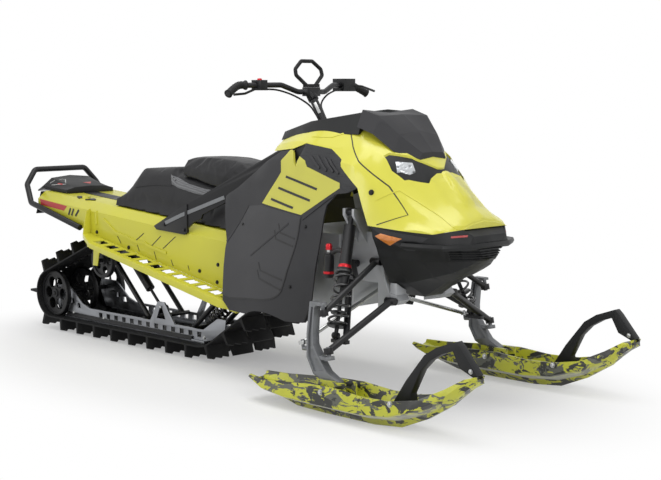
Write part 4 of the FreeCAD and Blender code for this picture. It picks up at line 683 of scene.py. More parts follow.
def ribbon(points: Sequence[Point], width: float, round_it: bool = False) -> np.ndarray:
    """Widens a flat line into a closed outline: half the width along its normal to each side.

    Args:
        points: The line's points of shape (n, 2), in millimetres.
        width: The outline's width in millimetres.
        round_it: Runs the line smoothly through its points.

    Returns:
        The outline of shape (2n, 2).
    """
    line = smooth_route(points, 6) if round_it else np.asarray(points, float)
    ahead = unit(np.gradient(line, axis=0))
    aside = np.stack([-ahead[:, 1], ahead[:, 0]], -1) * width / 2
    return np.vstack([line + aside, (line - aside)[::-1]])


def flat_patch(outlines: Sequence[np.ndarray], toward: np.ndarray, start: float,
               pitch: float) -> bmesh.types.BMesh:
    """Cuts flat outlines into a grid of small faces that look outwards.

    Args:
        outlines: Outlines of shape (n, 2) in millimetres, along X and the axis that is left.
        toward: The outward unit vector, along Y or Z.
        start: How far out the flat patch lies, in metres.
        pitch: The grid's spacing in millimetres.

    Returns:
        The patch as a bmesh.
    """
    rising = 1 if abs(toward[2]) > 0.5 else 2
    shape = bmesh.new()
    for outline in outlines:
        corners = np.zeros((len(outline), 3))
        corners[:, 0] = outline[:, 0] * MM
        corners[:, rising] = outline[:, 1] * MM
        corners += toward * start
        face = shape.faces.new([shape.verts.new(corner) for corner in corners])
        face.normal_update()
        if face.normal.dot(toward.tolist()) < 0:
            face.normal_flip()
    places = np.array([vert.co for vert in shape.verts])
    for axis in (0, rising):
        normal = np.eye(3)[axis]
        for level in np.arange(places[:, axis].min() + pitch * MM, places[:, axis].max(), pitch * MM):
            everything = shape.verts[:] + shape.edges[:] + shape.faces[:]
            bmesh.ops.bisect_plane(shape, geom=everything, dist=1e-7, plane_co=normal * level,
                                   plane_no=normal)
    bmesh.ops.triangulate(shape, faces=shape.faces)
    return shape


@dataclass
class Garage:
    """Holds the loaded frame and the finished pieces on it."""

    frame: dict[str, Any]
    pieces: dict[str, Thing] = field(default_factory=dict)

    def add(self, name: str, thing: Thing, body: str, finish: Finish, slot: str = "",
            stands_for: Sequence[str] = ()) -> Thing:
        """Dresses a piece, ties it to its body and reports it.

        Args:
            name: The piece's name.
            thing: The mesh, in place.
            body: The body that it moves with.
            finish: Its finish.
            slot: Not used.
            stands_for: The nodes that it replaces.

        Returns:
            The piece.
        """
        finish_modifiers(thing)
        thing.name = thing.data.name = name
        thing.data.materials.clear()
        thing.data.materials.append(finish.material())
        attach(thing, body)
        if stands_for:
            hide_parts(*stands_for)
        self.pieces[name] = thing
        LOG.info("%s rides on %s", name, body)
        return thing

    def body_of(self, node: str) -> str:
        """Gives the body that a node moves with."""
        return self.frame["nodes"][node]["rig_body"]

    def copied(self, node: str, dissolve: bool = True) -> Thing:
        """Copies a node's mesh with its loose triangles merged, and its flat faces joined where asked."""
        data = self.frame["nodes"][node].data.copy()
        with editing(data) as shape:
            bmesh.ops.remove_doubles(shape, verts=shape.verts, dist=NODE_WELD)
            if dissolve:
                bmesh.ops.dissolve_limit(shape, angle_limit=math.radians(1.0), verts=shape.verts,
                                         edges=shape.edges)
        return linked(node + "_dressed", data)

    def dress_node(self, node: str, finish: Finish, bevel: float) -> None:
        """Lets a copy with rounded edges and the finish stand for a node."""
        thing = self.copied(node, bevel > 0)
        if bevel:
            bevelled(thing, bevel * MM)
        else:
            shaded(thing, SKIN_CREASE)
        self.add(node + "_dressed", thing, self.body_of(node), finish, stands_for=[node])
        self.pieces[node] = thing

    def lay(self, name: str, onto: str, outlines: Sequence[np.ndarray], side: Optional[Side], finish: Finish,
            slot: str, lift: float = 0.3, thickness: float = 0.5, pitch: float = 14.0) -> None:
        """Lays thin outlines on a dressed node, seen from one side or, where no side is given, from above.

        Args:
            name: The piece's name.
            onto: The node that carries them.
            outlines: Outlines in millimetres along X and Z, or X and Y from above.
            side: The side that they are seen from.
            finish: Their finish.
            slot: The record's material slot.
            lift: Their height over the surface in millimetres.
            thickness: How thick they are, in millimetres.
            pitch: The spacing of the grid that follows the surface, in millimetres.
        """
        toward = np.array(side.out if side else (0.0, 0.0, 1.0))
        axis, start = (1, SIDE_START) if side else (2, TOP_START)
        shape = flat_patch(outlines, toward, start, pitch)
        data = bpy.data.meshes.new(name)
        shape.to_mesh(data)
        shape.free()
        thing = linked(name, data)
        modify(thing, "SHRINKWRAP", target=self.pieces[onto], wrap_method="PROJECT",
               use_negative_direction=True, use_positive_direction=True, wrap_mode="ABOVE_SURFACE",
               offset=lift * MM, **{"use_project_" + "xyz"[axis]: True})
        finish_modifiers(thing)
        with editing(thing.data) as laid:
            missed = [vert for vert in laid.verts if abs(abs(vert.co[axis]) - start) < NODE_WELD]
            bmesh.ops.delete(laid, geom=missed, context="VERTS")
        if not thing.data.polygons:
            LOG.warning("%s meets nothing", name)
            bpy.data.objects.remove(thing)
            return
        modify(thing, "SOLIDIFY", thickness=thickness * MM, offset=1.0)
        self.add(name, shaded(finish_modifiers(thing), TURNED_CREASE), self.body_of(onto), finish, slot)

    def cut_from(self, name: str, onto: str, outline: np.ndarray, side: Side, finish: Finish, slot: str,
                 lift: float = 0.6) -> None:
        """Lifts the part of a dressed skin inside an outline, seen from one side, as its own field.

        Args:
            name: The piece's name.
            onto: The node whose skin is cut.
            outline: The outline in millimetres along X and Z.
            side: The side that it is seen from.
            finish: Its finish.
            slot: The record's material slot.
            lift: How far its faces stand off the skin, in millimetres.
        """
        thing = linked(name, self.pieces[onto].data.copy())
        modify(thing, "DISPLACE", strength=lift * MM, mid_level=0.0)
        level = np.full(len(outline), side.value * CUT_START)
        face = np.stack([outline[:, 0] * MM, level, outline[:, 1] * MM], -1)
        cutter = plate(name + "_cutter", face, (0.0, side.value * REACH, 0.0), 0.0)
        modify(thing, "BOOLEAN", operation="INTERSECT", solver="EXACT", object=cutter)
        finish_modifiers(thing)
        bpy.data.objects.remove(cutter)
        self.add(name, shaded(thing, EDGE_CREASE), self.body_of(onto), finish, slot)

    def lay_pair(self, name: str, onto: str, outlines: Sequence[np.ndarray], finish: Finish, slot: str,
                 **sizes: float) -> None:
        """Lays the same outlines on the machine's right and left; the node's name may hold a side."""
        for side in Side:
            self.lay(f"{name}_{side.word}", onto.format(side.word), outlines, side, finish, slot, **sizes)

    def bolts(self, name: str, onto: str, places: Sequence[Point], toward: Point, radius: float,
              finish: Finish, slot: str) -> None:
        """Sets hexagon bolts with washers where lines from outside meet a dressed node.

        Args:
            name: The piece's name.
            onto: The node that carries them.
            places: A point on each line, in millimetres.
            toward: The unit vector from the node outwards.
            radius: The washers' radius in millimetres.
            finish: Their finish.
            slot: The record's material slot.
        """
        heads = []
        for place in places:
            aim = np.asarray(toward, float)
            hit, spot, normal, _ = self.pieces[onto].ray_cast((mm(*place) + aim * REACH).tolist(),
                                                              (-aim).tolist())
            if not hit:
                continue
            seat, out, size = np.array(spot), np.array(normal), radius * MM
            foot, rim = seat - out * MM, [(0, size), (1, size)]
            heads.append(straight("Washer", foot, seat + out * size * WASHER_RISE, rim, 14))
            heads.append(straight("Head", foot, seat + out * size * HEAD_RISE, scaled(HEAD_PROFILE, size), 6))
        if heads:
            self.add(name, merged(name, heads), self.body_of(onto), finish, slot)


def helix(name: str, start: np.ndarray, end: np.ndarray, radius: float, wire: float, turns: float,
          samples: int = 18) -> Thing:
    """Winds a coil spring round the line from start to end.

    Its wire's middle is start + (end - start)t + radius(u cos a + v sin a), with a = 2 pi turns t and with
    u and v square to the line; the pitch closes up over the first and the last turn.
    """
    along = unit(end - start)
    first = unit(np.cross(along, [0.0, 1.0, 0.0]))
    second = np.cross(along, first)
    t = np.linspace(0, 1, int(turns * samples) + 1)
    flat = 0.9 / turns
    rise = np.interp(t, [0, flat, 1 - flat, 1], [0, 2 * wire / np.linalg.norm(end - start),
                                                 1 - 2 * wire / np.linalg.norm(end - start), 1])
    angle = 2 * math.pi * turns * t
    path = (start + (end - start) * rise[:, None]
            + radius * (np.cos(angle)[:, None] * first + np.sin(angle)[:, None] * second))
    return sweep(name, path, circle(wire, 8), up=along)


@dataclass
class Bodywork:
    """The hood, side panels, vents and cowl: grooves, creases, coloured fields and their fasteners, with
    black strips of painted shade along the panel's recessed channel and chevron lines.
    """

    garage: Garage
    accent: Line = ((365, 956), (335, 907), (348, 863), (266, 734), (525, 704), (714, 817),
                                 (710, 837), (501, 890), (482, 913))
    bars: Lines = (((384, 846), (588, 806)), ((352, 800), (560, 761)),
                                           ((322, 754), (470, 727)))
    # The line of the side panel's recessed channel, in millimetres; a raised black strip along it paints the
    # shade inside
    groove: Line = ((527, 697), (517, 603), (488, 506), (465, 436), (439, 385), (371, 357),
                                 (240, 346), (135, 337))
    # The embossed chevron lines, in millimetres; raised strips along them give the relief, and their black is
    # painted shade
    chevrons: Lines = (((400, 662), (416, 627), (507, 609)), ((380, 634), (394, 600), (501, 579)),
                       ((302, 500), (319, 468), (456, 442)), ((300, 468), (316, 436), (447, 403)))
    creases: Lines = (((462, 666), (244, 521)), ((169, 717), (70, 559)),
                                              ((540, 688), (673, 779), (715, 798)))
    folds: Lines = (((508, 930), (579, 887)), ((548, 932), (623, 879)),
                                            ((591, 927), (665, 877)), ((625, 921), (697, 872)))
    hood_line: Line = ((623, 1059), (705, 989), (781, 921), (831, 890), (874, 863), (923, 831),
                                    (1015, 730), (905, 689))
    hood_creases: Lines = (((453, 1007), (572, 1007), (629, 1023)),
                                                   ((888, 781), (958, 819), (1089, 742), (1194, 684)))
    insert: Line = ((873, 684), (973, 666), (1117, 651), (1037, 596), (1005, 597))
    red_mark: Line = ((1180, 655), (1219, 659))
    hood_fasteners: Line = ((865, 0, 808),)
    panel_fasteners: Line = ((150, 0, 640), (500, 0, 420), (560, 0, 660))
    panel_field: Line = ((262, 726), (525, 697), (517, 603), (488, 506), (465, 436), (439, 385), (405, 366),
                         (371, 357), (240, 346), (135, 337), (90, 345), (40, 470), (60, 560), (165, 716))
    backing: Line = ((345, -180, 925), (352, -176, 972), (470, -190, 976), (530, -205, 890),
                                  (425, -207, 880))

    def backings(self) -> None:
        """Closes the gap between panel, vent and hood with a thin dark sheet behind it."""
        for side in Side:
            outline = flipped(np.array(self.backing, float) * MM, side)
            sheet = plate("Sheet", outline, (0.0, -side.value * 0.003, 0.0), 0.0)
            self.garage.add(f"Vent_backing_{side.word}", sheet, self.garage.body_of("side_vents"), BLACK_PP,
                            "dark_plastic")

    def build(self) -> None:
        """Lays every line and field on the skins."""
        self.backings()
        lay = self.garage.lay_pair
        for side in Side:
            for stem, onto in (("Panel", f"side_panel_{side.word}"), ("Vent", "side_vents")):
                self.garage.cut_from(f"{stem}_accent_{side.word}", onto, np.array(self.accent, float), side,
                                     YELLOW_FILM, "yellow_plastic")
            self.garage.cut_from(f"Panel_field_{side.word}", f"side_panel_{side.word}",
                                 np.array(self.panel_field, float), side, FIELD_PP, "dark_plastic",
                                 lift=1.6)
        lay("Panel_bars", "side_panel_{}", [ribbon(bar, 9) for bar in self.bars], BLACK_FILM,
            "dark_plastic", lift=1.3)
        # Painted shade: a black strip stands for the shade in the panel's recessed channel
        lay("Panel_groove", "side_panel_{}", [ribbon(self.groove, 6, True)], BLACK_FILM, "dark_plastic",
            lift=1.5)
        # Raised strips give the embossed chevron lines their relief; their black colour is painted shade
        lay("Panel_chevrons", "side_panel_{}", [ribbon(line, 7) for line in self.chevrons], BLACK_FILM,
            "dark_plastic", lift=1.5, thickness=1.0)
        lay("Panel_creases", "side_panel_{}", [ribbon(line, 6) for line in self.creases], RIM_PP,
            "dark_plastic", lift=1.5, thickness=1.5)
        lay("Vent_folds", "side_vents", [ribbon(fold, 9) for fold in self.folds], DARK_PP, "dark_plastic",
            thickness=4.0)
        lay("Hood_joint", "hood", [ribbon(self.hood_line, 4)], BLACK_FILM, "dark_plastic")
        lay("Hood_creases", "hood", [ribbon(line, 5) for line in self.hood_creases], YELLOW_ABS,
            "yellow_plastic", thickness=1.6)
        lay("Cowl_insert", "nose_cowl", [np.array(self.insert, float)], DARK_PP, "dark_plastic")
        lay("Cowl_red_mark", "nose_cowl", [ribbon(self.red_mark, 7)], RED_FILM, "red_lens")
        for side in Side:
            self.garage.bolts(f"Hood_fastener_{side.word}", "hood", self.hood_fasteners, side.out, 11,
                              BLACK_PP, "dark_plastic")
            self.garage.bolts(f"Panel_fasteners_{side.word}", f"side_panel_{side.word}",
                              self.panel_fasteners, side.out, 8, BLACK_PP, "dark_plastic")


@dataclass
class FrontSuspension:
    """The springs, gas reservoirs and adjusters of the two front shocks, in millimetres.

    A span is where a form starts and ends: along the shock for the collar, upright for the others.
    """

    garage: Garage
    foot: Point = (823, -400, 276)
    head: Point = (732, -220, 724)
    coil_from: float = 40.0
    coil_to: float = 249.0
    coil_radius: float = 35.0
    wire: float = 5.0
    turns: float = 6.5
    perch_rise: float = 8.0
    perch: Line = ((0, 10), (0.2, 34), (0.9, 39), (1, 37))
    reservoir: Point = (677, -290, 469)
    reservoir_length: float = 101.0
    reservoir_radius: float = 20.0
    reservoir_shares: Line = ((0, 0.6), (0.03, 0.92), (0.1, 1), (0.88, 1), (0.9, 0.9), (0.94, 0.9),
                              (0.96, 1), (1, 0.8))
    bridge_drop: float = 12.0
    bridge_rise: float = 4.0
    bridge_radius: float = 10.0
    ring_span: Point = (16, 27)
    ring: Line = ((0, 20), (0.15, 22.5), (0.85, 22.5), (1, 20))
    knob_span: Point = (8, 34)
    knob: Line = ((0, 6), (0.05, 13), (0.7, 13), (0.9, 11), (1, 4))
    collar_span: Point = (262, 276)
    collar: Line = ((0, 24.5), (0.5, 26.2), (1, 24.5))
    stem_span: Point = (-6, 10)
    stem: Line = ((0, 9), (1, 9))

    def build(self) -> None:
        """Builds both sides."""
        for side in Side:
            self.build_side(side)

    def build_side(self, side: Side) -> None:
        """Builds one shock's spring, reservoir, bridge, ring and knob."""
        body = self.garage.body_of(f"front_shock_{side.word}")
        foot, head = flipped(mm(*self.foot), side), flipped(mm(*self.head), side)
        axis = unit(head - foot)
        low = flipped(mm(*self.reservoir), side)
        top = low + mm(0, 0, self.reservoir_length)

        def turned(name: str, base: np.ndarray, along: np.ndarray, span: Point, profile: list,
                   sides: int = 24) -> Thing:
            """Turns a profile over a span from a base."""
            return straight(name, base + along * span[0] * MM, base + along * span[1] * MM, profile, sides)

        def add(stem: str, thing: Thing, finish: Finish, slot: str) -> None:
            """Adds this side's piece."""
            self.garage.add(f"{stem}_{side.word}", thing, body, finish, slot)

        up = np.array([0.0, 0.0, 1.0])
        spring = helix("Spring", foot + axis * self.coil_from * MM, foot + axis * self.coil_to * MM,
                       self.coil_radius * MM, self.wire * MM, self.turns)
        add("Front_spring", spring, SPRING_WIRE, "black_tube")
        can = straight("Can", low, top, scaled(self.reservoir_shares, self.reservoir_radius * MM))
        reach = float(np.dot(top - foot, axis))
        bridge = tube("Bridge", [top - mm(0, 0, self.bridge_drop),
                                 (top + foot + axis * reach) / 2 + mm(0, 0, self.bridge_rise),
                                 foot + axis * (reach - self.bridge_radius * MM)], self.bridge_radius * MM)
        perch = turned("Perch", foot, axis, (self.coil_from - self.perch_rise, self.coil_from),
                       scaled(self.perch))
        add("Shock_reservoir", merged("Can", [can, bridge, perch]), BLACK_COAT, "black_tube")
        adjusters = [turned("Ring", low, up, self.ring_span, scaled(self.ring)),
                     turned("Knob", top, up, self.knob_span, scaled(self.knob), 10),
                     turned("Collar", foot, axis, self.collar_span, scaled(self.collar))]
        add("Shock_adjusters", merged("Ring", adjusters), RED_ANODISED, "red_lens")
        add("Shock_adjuster_stem", turned("Stem", top, up, self.stem_span, scaled(self.stem)), ZINC_STEEL,
            "bright_steel")


@dataclass
class Skis:
    """The bolts of the skis and of their hand loops, in millimetres."""

    garage: Garage
    stance: float = 478.5
    sets: tuple[tuple[str, str, float, Line], ...] = (("Ski_loop_bolts", "ski_loop", 9, ((1548, 258),)),
                                                      ("Ski_bolts", "ski", 11, ((1244, 108), (905, 98))))

    def build(self) -> None:
        """Sets the bolts on both faces of each ski and loop."""
        for side in Side:
            for face in Side:
                word = "outer" if face is side else "inner"
                for name, node, radius, places in self.sets:
                    spots = [(x, self.stance * side.value, z) for x, z in places]
                    self.garage.bolts(f"{name}_{side.word}_{word}", f"{node}_{side.word}", spots, face.out,
                                      radius, ZINC_STEEL, "bright_steel")


@dataclass
class Cockpit:
    """The grips, leads, button and bright strip round the handlebar, in millimetres from its middle."""

    garage: Garage
    bar: Point = (277, 0, 1183)
    grip_route: Line = ((-55, -402, -7), (-66, -366, 12), (-72, -330, 27), (-66, -298, 28))
    grip_radius: float = 15.5
    ribs: int = 9
    rib_swell: float = 0.04
    tip: Point = (0.06, 0.12)
    flange: Point = (0.93, 0.25)
    lead_route: Line = ((-30, -232, 12), (-14, -170, 8), (2, -96, -14), (28, -38, -50), (58, -24, -90),
                        (92, -22, -138))
    lead_radius: float = 3.8
    post_down: Point = (0.5592, 0.0, -0.8290)
    strip_faces: Point = (0.5, -0.8, 0.35)
    strip_place: tuple[float, float] = (85.0, 16.5)
    strip_half: tuple[float, float] = (26.0, 6.0)
    strip_depth: float = 2.0
    button_place: Point = (-43, -244, 47)
    button_rise: float = 9.0
    button: Line = ((0, 10), (0.6, 10), (0.9, 8), (1, 3))

    def build(self) -> None:
        """Builds both grips and leads, the red button and the column's bright strip."""
        middle = mm(*self.bar)
        for side in Side:
            route = smooth_route(flipped(middle + np.array(self.grip_route, float) * MM, side), 10)
            share = np.linspace(0, 1, len(route))
            ripple = self.rib_swell * np.cos(self.ribs * 2 * math.pi * share)
            swell = (1 + self.tip[1] * (share < self.tip[0]) + self.flange[1] * (share > self.flange[0])
                     + ripple)
            grip = sweep("Grip", route, circle(self.grip_radius * MM, 16), scale=swell)
            self.garage.add(f"Hand_grip_{side.word}", grip, "steering", GRIP_RUBBER, "grip_rubber")
            lead = tube("Lead", flipped(middle + np.array(self.lead_route, float) * MM, side),
                        self.lead_radius * MM, 8)
            self.garage.add(f"Control_lead_{side.word}", lead, "steering", GRIP_RUBBER, "grip_rubber")
        down = np.array(self.post_down)
        out = unit(np.array(self.strip_faces) - down * np.dot(down, self.strip_faces))
        aside = np.cross(down, out)
        heart = middle + down * self.strip_place[0] * MM + out * self.strip_place[1] * MM
        corners = [heart + down * a * self.strip_half[0] * MM + aside * b * self.strip_half[1] * MM
                   for a, b in ((-1, -1), (1, -1), (1, 1), (-1, 1))]
        strip = plate("Strip", np.array(corners), out * self.strip_depth * MM, 0.4 * MM)
        self.garage.add("Column_strip", strip, "steering", ZINC_STEEL, "bright_steel")
        seat = middle + mm(*self.button_place)
        button = straight("Button", seat, seat + mm(0, 0, self.button_rise), scaled(self.button))
        self.garage.add("Stop_button", button, "steering", RED_ANODISED, "red_lens")


@dataclass
class TunnelTrim:
    """What is fixed to or painted on the tunnel, its boards and the tail, and a painted highlight along each
    tunnel brace.
    """

    garage: Garage
    stripe: Line = ((-1425, 655), (-1191, 632), (-1217, 608), (-1414, 626))
    bars: Lines = (((-1160, 624), (-1178, 590)), ((-1135, 622), (-1153, 588)),
                                           ((-1092, 619), (-1121, 588)))
    emboss: Lines = (((-893, 588), (-797, 532), (-707, 518), (-657, 502), (-575, 502),
                                              (-548, 487), (-500, 481), (-421, 468)),
                                             ((-984, 623), (-950, 619), (-948, 560)))
    slits: Lines = (((-786, 516), (-758, 484)), ((-585, 544), (-646, 506)),
                                            ((-635, 487), (-620, 458)), ((-462, 540), (-527, 492)),
                                            ((-511, 467), (-496, 431)), ((-357, 545), (-447, 485)),
                                            ((-390, 440), (-375, 412)), ((-272, 425), (-263, 403)))
    flap_share: float = 0.42
    # A painted highlight: a lighter grey strip along the brace's upper edge, in millimetres along X and Z
    brace_rib: Line = ((-410, 604), (-60, 735))
    rail_shoe: Line = ((-1300, 84), (-330, 84))
    rail_cover: Line = ((-1190, 128), (-900, 116))
    grip_strip: Line = ((-1300, 0), (-900, 0))
    tunnel_bolts: Line = ((-192, 0, 408), (-69, 0, 446), (-75, 0, 370), (-947, 0, 523), (-1395, 0, 600),
                                       (-700, 0, 470))
    brace_bolts: Line = ((-418, 0, 597), (-280, 0, 581))
    rail_bolts: Line = ((-1427, 0, 183), (-1250, 0, 95), (-1000, 0, 95), (-560, 0, 200), (-250, 0, 95))
    tail_line: Line = ((-1451, -136), (-1426, -61), (-1363, -103), (-1429, -142))
    tail_wedge: Line = ((-1350, -8), (-1363, 50), (-1330, 22))
    tail_dash: Line = ((-1406, -120), (-1377, -112))

    def flap(self) -> None:
        """Cuts the flap's visible sheet short below the bumper and rounds its edges."""
        thing = self.garage.copied("snow_flap")
        low, high = (np.array(corner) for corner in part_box("snow_flap"))
        level = high[2] - self.flap_share * (high[2] - low[2])
        with editing(thing.data) as shape:
            everything = shape.verts[:] + shape.edges[:] + shape.faces[:]
            bmesh.ops.bisect_plane(shape, geom=everything, dist=WELD, plane_co=(0.0, 0.0, level),
                                   plane_no=(0.0, 0.0, 1.0), clear_inner=True)
            bmesh.ops.holes_fill(shape, edges=[edge for edge in shape.edges if edge.is_boundary])
        self.garage.add("Tail_flap", bevelled(thing, 0.001), self.garage.body_of("snow_flap"), TRACK_RUBBER,
                        stands_for=["snow_flap"])

    def build(self) -> None:
        """Lays the tunnel's paint and pressings, a painted highlight on each brace, and sets its bolts."""
        self.flap()
        lay, bolts = self.garage.lay_pair, self.garage.bolts
        lay("Tunnel_stripe", "tunnel", [np.array(self.stripe, float)], RED_FILM, "red_lens", pitch=40)
        lay("Tunnel_bars", "tunnel", [ribbon(bar, 12) for bar in self.bars], BLACK_FILM, "dark_plastic",
            pitch=40)
        lay("Tunnel_pressing", "tunnel", [ribbon(line, 12) for line in self.emboss], YELLOW_POWDER,
            "yellow_sheet", thickness=4.5, pitch=40)
        lay("Rail_shoe", "slide_rail_{}", [ribbon(self.rail_shoe, 15)], BLACK_NYLON, "black_nylon",
            thickness=5.0, pitch=60)
        lay("Rail_cover", "slide_rail_{}", [ribbon(self.rail_cover, 40)], BLACK_COAT, "black_tube",
            thickness=3.0, pitch=60)
        lay("Tunnel_slits", "tunnel", [ribbon(line, 4) for line in self.slits], BLACK_FILM, "dark_plastic",
            pitch=40)
        top = self.garage.lay
        top("Tunnel_grip_strip", "tunnel", [ribbon(self.grip_strip, 84)], None, BLACK_PP, "dark_plastic",
            thickness=2.0, pitch=60)
        arc = np.linspace(-math.pi / 2, math.pi / 2, 15)
        for side in Side:
            y = 150 * side.value
            halves = [np.stack([-1120 + flip * (23 + 44 * np.cos(arc)), y + 24 * np.sin(arc)], -1)
                      for flip in (-1, 1)]
            top(f"Anchor_pads_{side.word}", "tunnel", halves, None, BLACK_PP, "dark_plastic", thickness=5.0,
                pitch=60)
            bolts(f"Tunnel_bolts_{side.word}", "tunnel", self.tunnel_bolts, side.out, 9, BLACK_COAT,
                  "black_tube")
            bolts(f"Brace_bolts_{side.word}", f"tunnel_brace_{side.word}", self.brace_bolts, side.out, 10,
                  BLACK_COAT, "black_tube")
            # Painted highlight: a lighter grey strip on the black brace, where light catches its upper edge
            top(f"Brace_rib_{side.word}", f"tunnel_brace_{side.word}", [ribbon(self.brace_rib, 16)], side,
                GREY_FORGING, "grey_forging", thickness=3.0, pitch=40)
            bolts(f"Rail_bolts_{side.word}", f"slide_rail_{side.word}", self.rail_bolts, side.out, 9,
                  ZINC_STEEL, "bright_steel")
        top("Tail_outline", "tail_cover", [ribbon(self.tail_line[i:i + 2], 4) for i in range(3)], None,
            PALE_FILM, "dark_plastic", pitch=30)
        marks = [np.array(self.tail_wedge, float), ribbon(self.tail_dash, 8)]
        top("Tail_marks", "tail_cover", marks, None, RED_FILM, "red_lens", pitch=30)


@dataclass
class Seat:
    """The padded two-level seat with its seams and the cloth patch on its side."""

    garage: Garage
    shrink: float = 3.0
    voxel: float = 8.0
    cap: float = 8.0
    pressure: float = 4.0
    frames: int = 20
    patch: Line = ((-515, 810), (-459, 792), (-390, 772), (-300, 758), (-205, 748), (-212, 722),
                                (-330, 733), (-456, 753), (-495, 768))
    seams: Lines = (((-758, 742), (-620, 759), (-494, 761)), ((-809, 659), (-510, 617)))

    def build(self) -> None:
        """Pads the cushion and lays the seams and the patch on it."""
        for node, name, fill in (("seat_cushion", "Cushion_pad", 0.8), ("seat_base", "Cushion_skirt", 0.7)):
            pad = self.padded(node)
            self.garage.add(name, pad, self.garage.body_of(node), SEAT_VINYL, stands_for=[node])
            self.garage.pieces[node] = pad
        lay = self.garage.lay_pair
        for node in ("seat_cushion", "seat_base"):
            lay("Cloth_patch_" + node, node, [np.array(self.patch, float)], SEAT_CLOTH, "seat_vinyl",
                lift=0.6)
        for node in ("seat_cushion", "seat_base"):
            lay("Seam_" + node, node, [ribbon(seam, 5, True) for seam in self.seams], SEAT_VINYL,
                "seat_vinyl", thickness=2.0)

    def padded(self, node: str) -> Thing:
        """Swells a slightly smaller copy of a node like foam under a sewn cover.

        Args:
            node: The node whose shape the pad takes.

        Returns:
            The pad, with its simulation written into its mesh.
        """
        thing = self.garage.copied(node, False)
        modify(thing, "REMESH", mode="VOXEL", voxel_size=self.voxel * MM)
        modify(thing, "DISPLACE", strength=-self.shrink * MM, mid_level=0.0)
        modify(thing, "SMOOTH", factor=0.5, iterations=6)
        finish_modifiers(thing)
        self.swell(thing)
        modify(thing, "SUBSURF", levels=1, render_levels=1)
        finish_modifiers(thing)
        thing.data.shade_smooth()
        return thing

    def swell(self, thing: Thing) -> None:
        """Blows the mesh up with air pressure for some frames; no point moves further than the cap."""
        before = np.empty(len(thing.data.vertices) * 3)
        thing.data.vertices.foreach_get("co", before)
        cloth = modify(thing, "CLOTH")
        cloth.settings.use_pressure = True
        cloth.settings.uniform_pressure_force = self.pressure
        cloth.settings.effector_weights.gravity = 0.0
        cloth.point_cache.frame_start = 1
        cloth.point_cache.frame_end = self.frames
        scene = bpy.context.scene
        for frame in range(1, self.frames + 1):
            scene.frame_set(frame)
        finish_modifiers(thing)
        after = np.empty_like(before)
        thing.data.vertices.foreach_get("co", after)
        scene.frame_set(1)
        move = (after - before).reshape(-1, 3)
        reach = np.linalg.norm(move, axis=1, keepdims=True)
        move *= np.minimum(1.0, self.cap * MM / np.maximum(reach, 1e-9))
        thing.data.vertices.foreach_set("co", (before.reshape(-1, 3) + move).ravel())
        thing.data.update()


@dataclass
class SkidSprings:
    """The coil spring on one of the shocks inside the track, in millimetres."""

    garage: Garage
    low: Point = (-380, 0, 118)
    high: Point = (-60, 0, 385)
    low_rest: float = 47.0
    high_rest: float = 90.0
    radius: float = 30.0
    wire: float = 5.0
    coil_pitch: float = 24.0
    unwound: float = 140.0

    def build(self) -> None:
        """Winds the spring between its seat and its body's top."""
        low, high = mm(*self.low), mm(*self.high)
        axis = unit(high - low)
        wound = float(np.linalg.norm(high - low)) - self.unwound * MM
        spring = helix("Spring", low + axis * self.low_rest * MM, high - axis * self.high_rest * MM,
                       self.radius * MM, self.wire * MM, max(5.0, wound / (self.coil_pitch * MM)))
        self.garage.add("Skid_spring_0", spring, self.garage.body_of("skid_shocks"), SPRING_WIRE,
                        "black_tube")


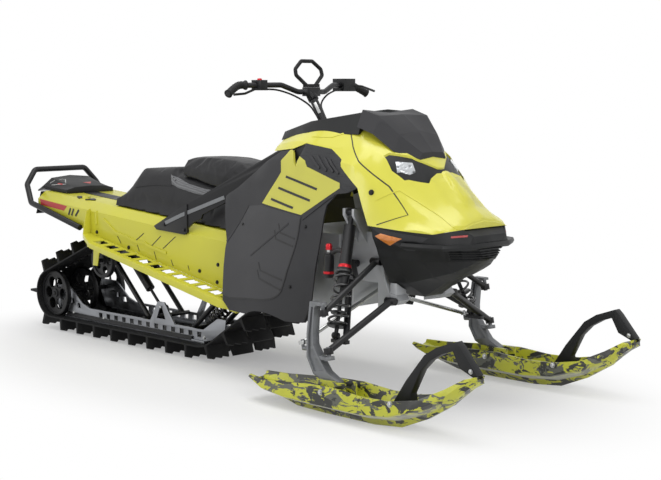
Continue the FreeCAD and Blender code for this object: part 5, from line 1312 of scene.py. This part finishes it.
@dataclass
class Studio:
    """The camera, the pale floor and the soft lamps."""

    eye: tuple[float, float, float] = (4.3684, -3.9988, 1.1905)
    turn: float = 44.80
    pitch: float = 6.26
    lens: float = 74.35
    floor_size: float = 60.0
    plain_radius: tuple[float, float] = (0.72, 1.25)
    plain_oval: tuple[float, float, float] = (0.6, 1.0, 1.0)
    plain_share: float = 0.3
    sky: float = 0.4

    def camera(self) -> None:
        """Puts the camera where the photograph was taken from."""
        data = bpy.data.cameras.new("View")
        data.lens = self.lens
        data.sensor_width = 36.0
        data.clip_end = 200.0
        thing = linked("View", data)
        thing.location = self.eye
        thing.rotation_euler = (math.radians(90 - self.pitch), 0.0, math.radians(self.turn))
        bpy.context.scene.camera = thing

    def seen_socket(self, tree: Tree) -> Socket:
        """Gives 1 to rays of the camera, of reflections and through glass, and 0 to the rays that light."""
        path = add_node(tree, "ShaderNodeLightPath")
        first = add_node(tree, "ShaderNodeMath", {"operation": "ADD"},
                         {0: path.outputs["Is Camera Ray"], 1: path.outputs["Is Glossy Ray"]})
        return add_node(tree, "ShaderNodeMath", {"operation": "ADD", "use_clamp": True},
                        {0: first.outputs[0], 1: path.outputs["Is Transmission Ray"]}).outputs[0]

    def world(self) -> None:
        """Lights the scene evenly with a pale grey sky, which the camera and reflections see as white."""
        world = bpy.data.worlds.new("Sky")
        bpy.context.scene.world = world
        tree = empty_tree(world)
        sky = add_node(tree, "ShaderNodeBackground", {"Color": (1.0, 1.0, 1.0, 1.0), "Strength": self.sky})
        plain = add_node(tree, "ShaderNodeBackground", {"Color": (1.0, 1.0, 1.0, 1.0), "Strength": 1.0})
        mix = add_node(tree, "ShaderNodeMixShader",
                       links={0: self.seen_socket(tree), 1: sky.outputs[0], 2: plain.outputs[0]})
        add_node(tree, "ShaderNodeOutputWorld", links={"Surface": mix.outputs[0]})

    def floor(self) -> None:
        """Lays a pale floor that keeps the machine's shadow and turns plain white further off."""
        half = self.floor_size / 2
        corners = np.array([[-half, -half, 0], [half, -half, 0], [half, half, 0], [-half, half, 0]])
        thing = build_mesh("Studio_floor", corners, [[0, 1, 2, 3]], False)
        material = bpy.data.materials.new("Pale_studio_floor")
        tree = empty_tree(material)
        place = add_node(tree, "ShaderNodeTexCoord").outputs["Object"]
        oval = add_node(tree, "ShaderNodeMapping", {"Scale": self.plain_oval}, {"Vector": place})
        distance = add_node(tree, "ShaderNodeVectorMath", {"operation": "LENGTH"}, {0: oval.outputs[0]})
        far = add_node(tree, "ShaderNodeMapRange",
                       {"From Min": self.plain_radius[0], "From Max": self.plain_radius[1],
                        "To Min": self.plain_share, "interpolation_type": "SMOOTHSTEP"},
                       {"Value": distance.outputs["Value"]})
        seen = add_node(tree, "ShaderNodeMath", {"operation": "MULTIPLY"},
                        links={0: far.outputs[0], 1: self.seen_socket(tree)})
        paint = add_node(tree, "ShaderNodeBsdfDiffuse", {"Color": linear("#f6f6f6")})
        glow = add_node(tree, "ShaderNodeEmission", {"Color": (1.0, 1.0, 1.0, 1.0), "Strength": 1.0})
        mix = add_node(tree, "ShaderNodeMixShader",
                       links={0: seen.outputs[0], 1: paint.outputs[0], 2: glow.outputs[0]})
        add_node(tree, "ShaderNodeOutputMaterial", links={"Surface": mix.outputs[0]})
        thing.data.materials.append(material)

    def lamp(self, name: str, place: Point, aim: Point, size: float, watts: float) -> None:
        """Hangs a square soft lamp that shines towards a point."""
        data = bpy.data.lights.new(name, "AREA")
        data.size = size
        data.energy = watts
        thing = linked(name, data)
        thing.location = place
        toward = unit(np.asarray(aim, float) - np.asarray(place, float))
        thing.rotation_euler = (math.acos(-toward[2]), 0.0, math.atan2(toward[0], -toward[1]) + math.pi)

    def build(self) -> None:
        """Builds the whole studio."""
        bpy.context.scene.view_settings.view_transform = "Standard"
        self.camera()
        self.world()
        self.floor()
        self.lamp("Overhead_lamp", (0.3, -0.6, 4.2), (0.2, 0.0, 0.4), 3.2, 80.0)
        self.lamp("Front_lamp", (4.6, -2.2, 2.6), (0.6, 0.0, 0.6), 1.8, 42.0)
        self.lamp("Side_lamp", (-1.6, -4.4, 2.4), (-0.2, 0.0, 0.5), 2.0, 36.0)


def main() -> None:
    """Loads the frame, builds the studio and dresses the machine."""
    logging.basicConfig(level=logging.INFO, format="%(message)s")
    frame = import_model()
    Studio().build()
    garage = Garage(frame)
    for node in sorted(frame["nodes"]):
        if node in ("seat_cushion", "seat_base", "snow_flap"):
            continue
        stem = max((key for key in NODE_FINISH if node.startswith(key)), key=len)
        garage.dress_node(node, *NODE_FINISH[stem])
    for assembly in (Seat, Bodywork, FrontSuspension, Skis, Cockpit, TunnelTrim, SkidSprings):
        assembly(garage).build()
    LOG.info("%d pieces", len(garage.pieces))


if __name__ == "__main__":
    main()
